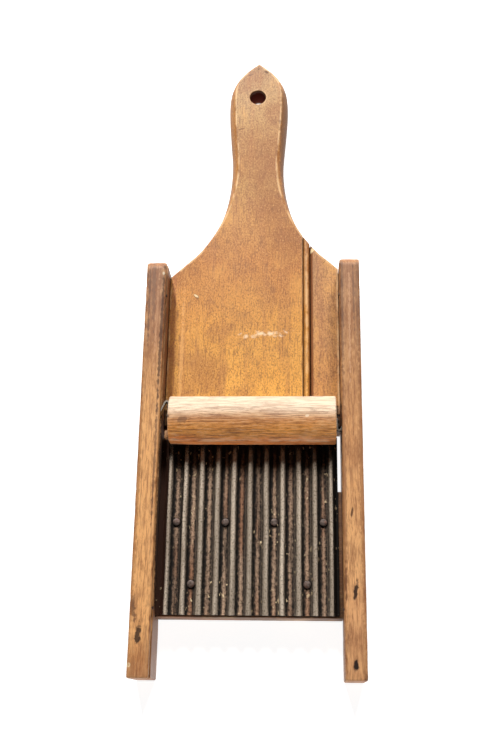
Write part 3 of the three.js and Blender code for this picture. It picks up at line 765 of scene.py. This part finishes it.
def makeRail(node, material, plan):
    low, high, middle, half = boxOf(node)
    inwards = -1 if middle.x > 0 else 1
    section = railSection(plan, half.x, half.z)
    length = high.y - low.y
    foot, top, crown = plan["footRound"], plan["topRound"], plan["crown"]
    # inset of the section, place along the rail, wear, and 1 where the crown shapes the end
    rim = plan["endRim"]
    stations = [(foot + rim["foot"], 0, 0.1, 0)]
    for step in range(plan["footSteps"] + 1):
        angle = math.pi / 2 * step / plan["footSteps"]
        stations.append((foot * (1 - math.sin(angle)), foot * (1 - math.cos(angle)), 1, 0))
    start, end = foot + 1, length - crown - 1
    count = int((end - start) / plan["station"])
    stations += [(0, start + (end - start) * step / count, 0, 0) for step in range(count + 1)]
    for step in range(plan["topSteps"] + 1):
        turned = step / plan["topSteps"]
        angle = math.pi / 2 * turned
        stations.append((top * (1 - math.cos(angle)), length - top * (1 - math.sin(angle)), turned, 1))
    stations.append((top + rim["top"], length, 0.4, 1))

    swell, swellLength = plan["swells"]
    bruise, bruiseLength = plan["bruises"]

    def placeAt(inset, along, endWear, crowned, x, z, rubbed):
        px, pz = x * (half.x - inset) / half.x, z * (half.z - inset) / half.z
        y = low.y + along
        if crowned:
            fade = max(z - half.z + crown, 0) / crown
            over = max(pz - half.z + crown, 0)
            drop = crown - math.sqrt(max(crown ** 2 - over ** 2, 0))
            y = high.y - drop - (length - along) * (1 - fade)
        place = (px, y, pz)
        amount = swell * (1 + uneven(place, swellLength, middle.x))
        amount += bruise * max(uneven(place, bruiseLength, 5 + middle.x) - 0.25, 0)
        amount *= plan["nicks"] * rubbed
        px += plan["nailStand"] * max(-x / half.x, 0) - math.copysign(amount, px)
        pz -= math.copysign(amount, pz)
        return (middle.x + inwards * px, y, middle.z + pz), max(rubbed, endWear * 0.8)

    makeLoft(node, stations, section, placeAt, material, "frame")


leftRailBeech = {
    "along": 1, "shift": 31.0,
    "toneAxis": 1, "toneAxisRange": (-244, 58), "toneWander": 50,
    "tones": [(0.0, "a8724a"), (0.06, "c08450"), (0.14, "ecaf70"), (0.6, "dea466"), (0.78, "a27048"),
              (1.0, "845a42")],
    "cloudSize": 20, "cloudStrength": 0.45, "cloudColour": "8a5632",
    "paleStrength": 0.35, "paleColour": "e2b078",
    "turnedShadeStrength": 0.7, "turnedShadeColour": "9c6234", "shadeColour": "633a22",
    "bandSize": 0.7, "bandStrength": 0.5, "bandColour": "8a5733",
    "fleckSize": 0.38, "fleckStretch": 9.0, "fleckStrength": 0.55, "fleckColour": "7c4e2e",
    "glintColour": "e6b882",
    "fibreSize": 0.55, "fibreStretch": 9, "fibreStrength": 0.3,
    "rubAndHighlightStrength": 0.28, "rubAndHighlightColour": "d9ac78", "soilStrength": 0.6, "soilColour": "55301a",
    "dirtAndShadeStrength": 0.95, "dirtAndShadeColour": "1d0e08", "dirtAndShadeReach": 7, "dirtAndShadeStart": 0.7,
    "roughness": (0.5, 0.66), "wallPolish": 0.1,
    "bleached": [],
    "marks": [
        ((-72.3, -215.7, 39), (2.0, 8.0, 3), 6, "2a1a12", 0.9, 2.2, 0.6, 0.6),
        ((-76.4, -197.0, 39), (2.2, 9.0, 3), -8, "5a3a28", 0.7, 2.6, 0.6, 0),
        ((-77.3, -235.4, 39), (1.3, 1.7, 3), 0, "ecd2a8", 0.9, 1.2, 0.6, 0.6),
        ((-65.9, 0.0, 39), (1.2, 58, 4), 0.6, "4a3022", 0.75, 1.8, 0.6, 0),
        ((-66.4, -95.0, 39), (0.9, 50, 4), 0.4, "5a3824", 0.65, 2.0, 0.6, 0),
        ((-72.5, 30.0, 39), (1.6, 34, 4), -1.5, "6a4a38", 0.5, 2.4, 0.6, 0),
        ((-65.9, 44.6, 39), (1.0, 1.6, 3), 0, "d8c9b0", 0.8, 1.2, 0.6, 0),
        # painted shade along the rail's outer edge
        ((-77.8, -120, 39), (1.9, 115, 5), 0, "96602f", 0.55, 1.6, 0.6, 0),
        # painted shade on the inner wall and in the groove
        ((-63.9, -118, 22), (1.3, 88, 15), 0, "201008", 0.8, 1.0, 0.6, 0),
        # painted highlight along the front
        ((-69.6, 8, 39), (0.8, 46, 4), 0.8, "c8966e", 0.4, 3.0, 0.6, 0),
        ((-75.6, 22, 39), (0.8, 36, 4), -0.6, "54382a", 0.6, 2.4, 0.6, 0),
    ],
}
rightRailBeech = dict(
    leftRailBeech, shift=47.0,
    tones=[(0.0, "d09a6a"), (0.12, "dea470"), (0.3, "e6ac72"), (0.5, "d0965e"), (0.8, "a8764a"),
           (1.0, "966848")],
    marks=[
        ((70.1, -133.9, 39), (0.9, 4.2, 3), 8, "4a2c1c", 0.85, 1.2, 0.6, 0.5),
        ((71.8, -186.6, 39), (1.7, 7.5, 3), 10, "2e1c14", 0.95, 1.6, 0.6, 0.6),
        ((71.2, -233.7, 39), (1.8, 4.2, 3), 4, "1c120e", 0.98, 1.2, 0.6, 0.6),
        ((65.4, -183.0, 39), (0.5, 16, 4), 0, "3e2818", 0.8, 2.4, 0.6, 0),
        # painted shade: both edges of the upper front painted darker
        ((65.3, 20.0, 39), (1.6, 60, 5), 0, "5e3c28", 0.6, 1.8, 0.6, 0),
        ((77.0, 20.0, 39), (1.6, 55, 5), 0, "6a4630", 0.5, 2.0, 0.6, 0),
        # painted shade: both edges of the lower front painted darker
        ((77.6, -110, 39), (2.0, 120, 5), 0, "8e5a32", 0.6, 1.6, 0.6, 0),
        ((65.4, -110, 39), (1.5, 95, 5), 0, "80502e", 0.6, 1.6, 0.6, 0),
        # painted shade on the inner wall beside the bar
        ((63.9, -70, 24), (1.2, 26, 13), 0, "2a160c", 0.7, 1.0, 0.6, 0),
        # painted highlight along the middle of the front
        ((70.8, 6.0, 39), (0.9, 50, 4), 0.5, "d2a27a", 0.4, 3.0, 0.6, 0),
        ((74.0, 24.0, 39), (0.8, 30, 4), -0.5, "5e4030", 0.5, 2.4, 0.6, 0),
    ])

makeRail("left_rail", makeBeech("handledBeechLeft", leftRailBeech), railPlan)
makeRail("right_rail", makeBeech("handledBeechRight", rightRailBeech), railPlan)
print("rails ready")


# Bed board under the knife

bedPlan = {"round": 0.9, "steps": 4, "station": 3.0, "endGap": 0.05, "unevenness": (0.12, 7)}


def makeBedBoard(plan, material):
    low, high, middle, half = boxOf("bed_board")
    section = roundedSection(half.y, half.z, plan["round"], plan["steps"])
    start, end = low.x + plan["endGap"], high.x - plan["endGap"]
    count = int(half.x * 2 / plan["station"])
    stations = [(start + (end - start) * step / count,) for step in range(count + 1)]
    depth, swell = plan["unevenness"]

    def placeAt(x, y, z, rubbed):
        amount = depth * (1 + uneven((x, y, z), swell, 9))
        return (x, middle.y + y - math.copysign(amount, y),
                middle.z + z - math.copysign(0.4 * amount, z)), rubbed

    makeLoft("bed_board", stations, section, placeAt, material, "frame")


bedBeech = dict(
    leftRailBeech, along=0, shift=61.0, toneAxisRange=(-204, -115), toneWander=20,
    tones=[(0.0, "3c2d1c"), (0.08, "5a3f28"), (0.5, "9a6c44"), (1.0, "7a5434")],
    rubAndHighlightStrength=0.0, turnedShadeStrength=0.0, marks=[])
makeBedBoard(bedPlan, makeBeech("handledBeechBed", bedBeech))
print("bed board ready")


# Knife: rolled sheet steel in even waves, its upper end ground to an edge

knifePlan = {
    "pitch": 11.375,
    "crestShift": -0.2,
    "crestFlat": 1.6,
    "valleyFlat": 4.4,
    "bevel": 4.0,
    "keen": 0.25,
    "sheet": 1.2,
    "acrossStep": 0.45,
    "alongStep": 2.4,
    "bevelShares": (0.3, 0.6, 0.85, 1.0),
    "wander": (0.3, 38),  # how far the waves stray, and over what length
    "ripple": (0.16, 11),
    "shear": {"valley": 0.25, "ragged": 0.15, "length": 5},  # the sheared lower end isn't quite straight
    "leftLap": 0.6,  # rust and dirt close the narrow gap to the left rail
}


def waveShare(plan, x):
    # 0 in a valley, 1 on a crest
    turns = (x - plan["crestShift"]) / plan["pitch"]
    away = abs(turns - round(turns)) * plan["pitch"]
    flank = (plan["pitch"] - plan["crestFlat"] - plan["valleyFlat"]) / 2
    share = min(max((away - plan["crestFlat"] / 2) / flank, 0), 1)
    return (1 + math.cos(math.pi * share)) / 2


def makeKnife(plan, material):
    low, high, _, _ = boxOf("corrugated_knife")
    low.x -= plan["leftLap"]
    crestHeight = high.z - low.z - plan["sheet"]
    bevelStart = high.y - plan["bevel"]
    columns = int((high.x - low.x) / plan["acrossStep"])
    rows = int((bevelStart - low.y) / plan["alongStep"])
    rowPlaces = [low.y + (bevelStart - low.y) * row / rows for row in range(rows + 1)]
    rowPlaces += [bevelStart + plan["bevel"] * share for share in plan["bevelShares"]]
    stray, strayLength = plan["wander"]
    ripple, rippleLength = plan["ripple"]
    shear = plan["shear"]
    rings, wear = [], []
    for y in rowPlaces:
        ring, under, dust = [], [], []
        unground = min(max(high.y - y, 0) / plan["bevel"], 1)
        thick = plan["keen"] + (plan["sheet"] - plan["keen"]) * unground
        for column in range(columns + 1):
            x = low.x + (high.x - low.x) * column / columns
            bent = x + stray * uneven((x, y, 0), strayLength, 2)
            share = waveShare(plan, bent)
            z = low.z + crestHeight * share
            wave = round(x / plan["pitch"])
            dent = ripple * (0.6 + uneven((wave * 9, y, 1), rippleLength, 3)) * share
            pull = 0.0
            if y == rowPlaces[0]:
                pull = shear["valley"] * (1 - share)
                pull += shear["ragged"] * (1 + uneven((x, 0, 0), shear["length"], 8))
            ring.append((x, y + pull, z + thick - dent))
            under.append((x, y + pull, z))
            away = abs((bent - plan["crestShift"]) / plan["pitch"] % 1 - 0.5) * plan["pitch"]
            dust.append(max(1 - away / (plan["valleyFlat"] / 2), 0))
        rings.append(ring + under[::-1])
        wear += dust + dust[::-1]  # here the attribute tells how near a valley's middle is
    points, faces = closedLoft(rings)
    makePiece("corrugatedKnife", points, faces, material, "frame", ["corrugated_knife"],
              wear, 60)


steelPlan = {
    "crestColour": "a69888", "crestShine": "d6c8b6", "flankColour": "0e0a07", "litFlankColour": "6a5e52",
    "valleyColour": "c6a68c", "rustColour": "9e6c4e", "crumbColour": "d9c29c", "edgeColour": "8a847c",
    "railShadowBrown": "42281c",
    "valleyZ": 21.3, "crestZ": 24.9,
    "leftGrime": (-56.8, -59.5), "rightGrime": (59.3, 60.8), "groundEdge": (-79.6, -77.2),
    "bareMetal": 0.45,
    "shineLevel": 0.25,  # soot hardly shines
}


def makeSteel(name, plan):
    # rolled sheet steel, tarnished: bare grey where it is rubbed on the crests, near black oxide on the
    # flanks, brown rust and dried dust in the valleys
    material, tree = newMaterial(name)
    place = millimetres(tree)
    axes = addNode(tree, "ShaderNodeSeparateXYZ", inputs={0: place}).node.outputs
    height = addNode(tree, "ShaderNodeMapRange", inputs={
        "Value": axes["Z"], "From Min": plan["valleyZ"], "From Max": plan["crestZ"]})
    # size in millimetres, stretch, detail, roughness, shift; grit and pitting are 0.2 mm wide in life,
    # drawn coarser so that they show
    noises = {
        "grit": (0.9, (1, 1.4, 1), 4.0, 0.7, 0),
        "fineGrit": (0.45, (1, 1.6, 1), 3.0, 0.7, 15),
        "streaks": (2.4, (0.5, 14, 1), 4.0, 0.6, 4),
        "patches": (14, (1, 2.2, 1), 3.0, 0.5, 9),
        "crumbs": (1.25, (1, 1.6, 1), 2.0, 0.4, 21),
        "clusters": (17, (1, 1.5, 1), 2.0, 0.5, 33),
    }
    grit, fineGrit, streaks, patches, crumbs, clusters = (
        speckle(tree, place, *row) for row in noises.values())
    facing = addNode(tree, "ShaderNodeSeparateXYZ", inputs={
        0: addNode(tree, "ShaderNodeNewGeometry").node.outputs["Normal"]}).node.outputs
    dust = addNode(tree, "ShaderNodeAttribute", {"attribute_name": "wear"}).node.outputs["Fac"]
    occlusionShade = addNode(tree, "ShaderNodeAmbientOcclusion", {"samples": 8}, {
        "Distance": 24 * mm}).node.outputs["AO"]
    # the grit makes these borders ragged
    swing = addNode(tree, "ShaderNodeMath", subtract, {0: grit, 1: 0.5})
    raised, dusty, across = (addNode(tree, "ShaderNodeMath", multiplyAdd, {0: swing, 1: reach, 2: value})
                             for reach, value in ((0.9, height), (2.2, dust), (2.0, axes["X"])))
    streaked, lowLying, clustered = (
        addNode(tree, "ShaderNodeMapRange", smoothly, {"Value": value, "From Min": start, "From Max": full})
        for value, start, full in ((streaks, 0.25, 0.55), (height, 0.75, 0.3), (clusters, 0.38, 0.58)))

    crestTone, _ = paintLayers(tree, plan["crestColour"], [(streaks, 0.4, 0.68, 1.0, plan["crestShine"])])
    valleyTone, _ = paintLayers(tree, plan["valleyColour"], [(patches, 0.42, 0.66, 0.85, plan["rustColour"])])
    colour, crest = paintLayers(tree, plan["flankColour"], [
        # painted light: the left-facing flank of each wave is painted lighter than the right one, where the
        # left lamp lights it
        (facing["X"], -0.1, -0.55, 1.0, plan["litFlankColour"]),
        (raised, 0.2, 0.95, 1.0, crestTone),
    ])
    colour, crumbed = paintLayers(tree, colour, [
        (dusty, 0.0, 1.1, 1.0, valleyTone, streaked),
        (fineGrit, 0.5, 0.62, 0.6, plan["flankColour"]),
        # painted shade: darker where the AO node finds the bar overhead, standing in for the bar's shadow,
        # and painted shadows of the rails in bands along both edges
        (occlusionShade, 0.79, 0.56, 0.97, plan["flankColour"]),
        (across, *plan["leftGrime"], 0.92, plan["railShadowBrown"]),
        (across, *plan["rightGrime"], 0.92, plan["flankColour"]),
        (crumbs, 0.65, 0.71, 1.0, plan["crumbColour"], lowLying, clustered),
    ])
    colour, keen = paintLayers(tree, colour, [(axes["Y"], *plan["groundEdge"], 0.7, plan["edgeColour"])])

    bare = addNode(tree, "ShaderNodeMath", larger, {0: crest, 1: keen})
    metal = addNode(tree, "ShaderNodeMath", multiply, {0: bare, 1: plan["bareMetal"]})
    rise = addNode(tree, "ShaderNodeMath", multiply, {0: grit, 1: 0.8})
    rise = addNode(tree, "ShaderNodeMath", multiplyAdd, {0: crumbed, 1: 1.2, 2: rise})
    bump = addNode(tree, "ShaderNodeBump", inputs={"Height": rise, "Strength": 0.7, "Distance": 0.25 * mm})
    roughness = addNode(tree, "ShaderNodeMapRange", inputs={"Value": crest, "To Min": 0.8, "To Max": 0.56})
    finishMaterial(tree, {"Base Color": colour, "Metallic": metal, "Roughness": roughness, "Normal": bump,
                          "Specular IOR Level": plan["shineLevel"]})
    return material


makeKnife(knifePlan, makeSteel("tarnishedSteel", steelPlan))
print("knife ready")


# Nails and brads: hammered iron heads on short shanks

ironPlan = {
    "dark": "352a27", "mid": "6a5b55", "rust": "6a3a24", "bare": "8a7d74",
    "scale": 0.9, "stretch": (1, 1, 1), "shine": 0.3, "roughness": 0.6, "metallic": 0.5,
}


def makeIron(name, plan):
    # forged and hammered iron, oxidised: dark brown-black with rust in the hollows
    material, tree = newMaterial(name)
    place = millimetres(tree)
    scale = speckle(tree, place, plan["scale"], plan["stretch"], detail=4.0, roughness=0.65)
    rust = speckle(tree, place, 2.2, detail=3.0, shift=6)
    colour, _ = paintLayers(tree, plan["dark"], [
        (scale, 0.38, 0.62, 1.0, plan["mid"]),
        (rust, 0.5, 0.7, 0.6, plan["rust"]),
    ])
    wear = addNode(tree, "ShaderNodeAttribute", {"attribute_name": "wear"}).node.outputs["Fac"]
    rubbed = addNode(tree, "ShaderNodeMath", multiply, {0: wear, 1: plan["shine"]})
    colour = addNode(tree, "ShaderNodeMix", mixColours, {0: rubbed, 6: colour, 7: plan["bare"]})
    bump = addNode(tree, "ShaderNodeBump", inputs={"Height": scale, "Strength": 0.6, "Distance": 0.15 * mm})
    finishMaterial(tree, {"Base Color": colour, "Metallic": plan["metallic"],
                          "Roughness": plan["roughness"], "Normal": bump})
    return material


nailPlan = {"sides": 20, "shankShare": 0.46, "pointShare": 0.12, "pointLength": 2.0, "domeSteps": 5,
            "rimShare": 0.72, "collarShare": 0.93, "domePower": 0.8, "hammered": 0.09, "dentShare": 0.25,
            "headGrow": 1.0, "stand": 0.0}
# heads mushroomed by hammering
knifeNailPlan = dict(nailPlan, sides=24, headGrow=1.32, stand=0.5, hammered=0.12)


def makeNail(node, body, headTowards, material, plan, domeShare):
    # headTowards is the world direction from the point to the head
    low, high, middle, _ = boxOf(node)
    direction = Vector(headTowards)
    axis = max(range(3), key=lambda i: abs(direction[i]))
    across = [i for i in range(3) if i != axis]
    radius = max(high[i] - low[i] for i in across) / 2 * plan["headGrow"]
    top = high[axis] + plan["stand"] if direction[axis] > 0 else low[axis] - plan["stand"]
    length = high[axis] - low[axis]
    dome = radius * domeShare
    rim = dome * plan["rimShare"]
    shank = plan["shankShare"] / plan["headGrow"]
    profile = [(plan["pointShare"], length), (shank, length - plan["pointLength"]), (shank, dome),
               (plan["collarShare"], dome), (1.0, rim)]
    for step in range(1, plan["domeSteps"] + 1):
        angle = math.pi / 2 * step / (plan["domeSteps"] + 1)
        profile.append((math.cos(angle), rim * (1 - math.sin(angle) ** plan["domePower"])))
    section = [(2 * math.pi * i / plan["sides"],) for i in range(plan["sides"])]

    def placeAt(share, depth, angle):
        seed = (math.cos(angle) * 1.3 + middle.x, math.sin(angle) * 1.3 + middle.y, depth)
        out = radius * share * (1 - plan["hammered"] * (0.5 + 0.5 * uneven(seed, 1.6)))
        sunk = depth + plan["dentShare"] * dome * max(uneven(seed, 1.1, 3), 0)
        place = [0.0, 0.0, 0.0]
        place[axis] = top - math.copysign(sunk, direction[axis])
        place[across[0]] = middle[across[0]] + out * math.cos(angle)
        place[across[1]] = middle[across[1]] + out * math.sin(angle)
        return place, 0.5 * (depth < dome / 2)

    makeLoft(node, profile, section, placeAt, material, body, 50)


hammeredIron = makeIron("hammeredIron", ironPlan)
for number in range(1, 7):
    makeNail(f"knife_nail_{number}", "frame", (0, 0, 1), hammeredIron, knifeNailPlan, 0.4)
for sideName, outwards in (("left", -1), ("right", 1)):
    for number in range(1, 5):
        makeNail(f"{sideName}_rail_nail_{number}", "frame", (outwards, 0, 0), hammeredIron, nailPlan, 0.4)
    for number in range(1, 3):
        makeNail(f"{sideName}_stop_brad_{number}", "frame", (-outwards, 0, 0), hammeredIron, nailPlan, 0.55)
        makeNail(f"{sideName}_runner_nail_{number}", "guard", (outwards, 0, 0), hammeredIron, nailPlan, 0.5)
print("nails ready")


# Guard bar with a crowned front

barPlan = {
    "side": 10.0,
    "crown": 8.0,
    "crownSteps": 30,
    "arris": 1.0,
    "crownArris": {"reach": 1.6, "insetShare": 0.012, "drop": 0.25},
    "endRound": 1.3,
    "endSteps": 6,
    "station": 1.8,
    "heartShare": 0.45,  # height of the line towards which the surface is worn
    "nicks": (0.16, 13),  # depth and length
    "bruises": (0.7, 4.5),
    # the lower left corner is worn away more than the others
    "wornCorner": {"along": 26, "across": 2, "end": 9, "endDepth": 1.56, "depth": 0.5},
}


def barSection(plan, half):
    # section seen from the bar's right end, counterclockwise from the back, with the wear
    side, crown, a, arris = plan["side"], plan["crown"], plan["arris"], plan["crownArris"]
    radius = (half ** 2 + crown ** 2) / (2 * crown)
    reach = math.asin(half / radius)
    section = [(-half + a, 0, 0.4), (0, 0, 0), (half - a, 0, 0.4), (half, a, 0.4), (half, 5, 0),
               (half, side - 0.9, 0.3), (half - 0.1, side - 0.3, 0.9)]
    for step in range(plan["crownSteps"] + 1):
        angle = math.pi / 2 - reach + 2 * reach * step / plan["crownSteps"]
        y = radius * math.cos(angle)
        z = side + crown - radius + radius * math.sin(angle)
        edge = 1 - min((half - abs(y)) / arris["reach"], 1)
        section.append((y * (1 - arris["insetShare"] * edge), z - arris["drop"] * edge, 0.9 * edge))
    section += [(-half + 0.1, side - 0.3, 0.9), (-half, side - 0.9, 0.3), (-half, 5, 0), (-half, a, 0.4)]
    return section


def makeBar(plan, material):
    low, _, middle, half = boxOf("guard_bar")
    section = barSection(plan, half.y)
    r, length = plan["endRound"], half.x * 2
    # place along the bar, and how much its end is rounded there
    end = []
    for step in range(plan["endSteps"] + 1):
        angle = math.pi / 2 * step / plan["endSteps"]
        end.append((r * (1 - math.cos(angle)), 1 - math.sin(angle)))
    count = int((length - 2 * r) / plan["station"])
    inner = [(r + (length - 2 * r) * step / count, 0.0) for step in range(1, count)]
    stations = end + inner + [(length - along, over) for along, over in reversed(end)]

    heart = Vector((0, (plan["side"] + plan["crown"]) * plan["heartShare"]))
    nick, nickLength = plan["nicks"]
    bruise, bruiseLength = plan["bruises"]
    worn = plan["wornCorner"]

    def placeAt(along, over, y, z, rubbed):
        corner = smoothShare(worn["along"], 0, along) * smoothShare(worn["across"], -half.y, y)
        place = (low.x + along, y, z)
        amount = over * (r + worn["endDepth"] * corner * (along < worn["end"]))
        amount += worn["depth"] * corner ** 3
        amount += nick * (0.5 + 0.5 * uneven(place, nickLength, 6)) * (0.35 + rubbed)
        amount += bruise * max(uneven(place, bruiseLength, 12) - 0.45, 0) * (0.2 + rubbed)
        flat = Vector((y, z))
        at = flat + (heart - flat).normalized() * amount
        return (low.x + along, middle.y + at.x, low.z + max(at.y, 0.02)), max(rubbed, over * 0.8)

    makeLoft("guard_bar", stations, section, placeAt, material, "guard")


barBeech = {
    "along": 0, "shift": 71.0,
    # painted light across the crown: near white along its upper half, a painted highlight where the lamps
    # light it, and saturated orange towards its lower side, painted brighter there than the light it gets
    "toneAxis": 1, "toneAxisRange": (-84.2, -50.8), "toneWander": 7,
    "tones": [(0.0, "ee8832"), (0.1, "fcae56"), (0.25, "eca252"), (0.4, "d2945e"), (0.5, "e0b48a"),
              (0.62, "eed4b6"), (0.8, "e0ceb2"), (1.0, "d2c2a8")],
    "bleached": [(0.4, 0.8, 0.35, "e2d6c2")],  # start, full, strength, colour
    "cloudSize": 16, "cloudStrength": 0.24, "cloudColour": "a4683c",
    "paleStrength": 0.25, "paleColour": "e4c496",
    "turnedShadeStrength": 0.12, "turnedShadeColour": "b06a30", "shadeColour": "7c4826",
    "bandSize": 0.8, "bandStrength": 0.6, "bandColour": "9a6238",
    "fleckSize": 0.4, "fleckStretch": 10.0, "fleckStrength": 0.7, "fleckColour": "744424",
    "glintColour": "ecd8b4",
    "fibreSize": 0.35, "fibreStretch": 30, "fibreStrength": 0.7,
    "rubAndHighlightStrength": 0.5, "rubAndHighlightColour": "efdcb8", "soilStrength": 0.5, "soilColour": "6a3d22",
    "dirtAndShadeStrength": 0.8, "dirtAndShadeColour": "2c160c", "dirtAndShadeReach": 5, "dirtAndShadeStart": 0.62,
    "roughness": (0.55, 0.72), "wallPolish": 0.0,
    "marks": [
        ((-47.3, -70.6, 46), (3.2, 2.4, 5), 10, "6b4630", 0.6, 2.2, 0.6, 0),
        ((40.2, -67.7, 46), (1.7, 1.3, 5), -8, "f2dfc2", 0.7, 1.2, 0.6, 0.5),
        ((-57.4, -67.5, 44), (1.2, 2.0, 5), 0, "3c2418", 0.8, 2.0, 0.6, 0),
    ],
}
makeBar(barPlan, makeBeech("scrubbedBeechBarPaintedLight", barBeech))
print("guard bar ready")


# Runners: strap iron folded like a hairpin, one leg on the bar's end and one in the rail's groove

runnerPlan = {
    "thickness": 1.2,
    "width": 5.8,
    "seat": 0.1,  # between the bar's end and the leg on it
    "inner": 64.0,  # half the width between the rails
    "bite": 2.2,
    "reach": 14.3,
    "foldRadius": 1.4,
    "foldSteps": 18,
    "lean": 0.42,
    "left": {"fold": 14.3, "leg": 11.0, "turn": 1},
    "right": {"fold": 8.3, "leg": 7.4, "turn": -1},
}
strapPlan = {
    "dark": "2a2420", "mid": "665e56", "rust": "5c3f2c", "bare": "b4aca2",
    "scale": 0.7, "stretch": (1, 4, 1), "shine": 0.5, "roughness": 0.45, "metallic": 0.7,
}


def runnerLine(plan, side, barEnd):
    # middle of the strap, x away from the bar's middle, y towards the fold
    start = barEnd + plan["seat"] + plan["thickness"] / 2
    leg = plan["inner"] + plan["bite"]
    bend = side["fold"] - plan["foldRadius"] - plan["thickness"] / 2
    line = [Vector((start, bend - side["leg"])), Vector((start, bend - side["leg"] / 2))]
    for step in range(plan["foldSteps"] + 1):
        angle = math.pi - (math.pi - plan["lean"]) * step / plan["foldSteps"]
        line.append(Vector((start + plan["foldRadius"] * (1 + math.cos(angle)),
                            bend + plan["foldRadius"] * math.sin(angle))))
    last = line[-1]
    line.append(Vector((leg, last.y - (leg - last.x) / math.tan(plan["lean"]))))
    line.append(Vector((leg, -plan["reach"])))
    return line


def makeRunner(node, sideName, material, plan):
    barLow, barHigh, middle, _ = boxOf("guard_bar")
    sign = -1 if sideName == "left" else 1
    side = plan[sideName]
    line = runnerLine(plan, side, abs(barLow.x if sign < 0 else barHigh.x))
    stations = []
    for i, point in enumerate(line):
        before, after = line[max(i - 1, 0)], line[min(i + 1, len(line) - 1)]
        incoming = ((after - point) if i == 0 else (point - before)).normalized()
        outgoing = incoming if i == len(line) - 1 else (after - point).normalized()
        square = Vector((-outgoing.y, outgoing.x))
        across = Vector((-incoming.y - outgoing.y, incoming.x + outgoing.x)).normalized()
        stations.append((point, across / across.dot(square)))
    # shares of half the thickness and half the width, and the wear
    section = [(-0.8, -1, 1), (0.8, -1, 1), (1, -0.93, 1), (1, 0, 0.2), (1, 0.93, 1), (0.8, 1, 1),
               (-0.8, 1, 1), (-1, 0.93, 1), (-1, 0, 0.2), (-1, -0.93, 1)]
    centreZ = boxOf(node)[2].z
    halfWidth, halfThick = plan["width"] / 2, plan["thickness"] / 2

    def placeAt(point, across, u, v, rubbed):
        at = point + across * (halfThick * u)
        return (sign * at.x, middle.y + side["turn"] * at.y, centreZ + halfWidth * v), rubbed

    makeLoft(node, stations, section, placeAt, material, "guard", 40)


bentStrap = makeIron("bentStrapIron", strapPlan)
makeRunner("left_runner", "left", bentStrap, runnerPlan)
makeRunner("right_runner", "right", bentStrap, runnerPlan)
print("runners ready")


# End blocks beside the runners

blockPlan = {"arris": 0.5, "steps": 3, "unevenness": (0.12, 2.5)}


def makeEndBlock(node, material, plan):
    _, _, middle, half = boxOf(node)
    a = plan["arris"]
    depth, swell = plan["unevenness"]
    section = roundedSection(half.y, half.z, a, plan["steps"])
    # place, inset and wear
    stations = [(-half.x, a, 0.6), (-half.x + a * 0.3, a * 0.3, 1), (-half.x + a, 0, 0.5), (0, 0, 0),
                (half.x - a, 0, 0.5), (half.x - a * 0.3, a * 0.3, 1), (half.x, a, 0.6)]

    def placeAt(x, inset, rubbed, y, z, corner):
        shrink = 1 - (inset + depth * (1 + uneven((x + middle.x, y, z), swell, 4))) / half.y
        return (middle.x + x, middle.y + y * shrink, middle.z + z * shrink), max(rubbed, corner * 0.7)

    makeLoft(node, stations, section, placeAt, material, "guard")


blockBeech = dict(
    leftRailBeech, along=0, shift=83.0, toneAxisRange=(-85, -55), toneWander=8,
    tones=[(0.0, "b98a5c"), (1.0, "ad7c50")], fleckSize=0.7, marks=[])
handledBlocks = makeBeech("handledBeechBlocks", blockBeech)
makeEndBlock("left_end_block", handledBlocks, blockPlan)
makeEndBlock("right_end_block", handledBlocks, blockPlan)
print("end blocks ready")
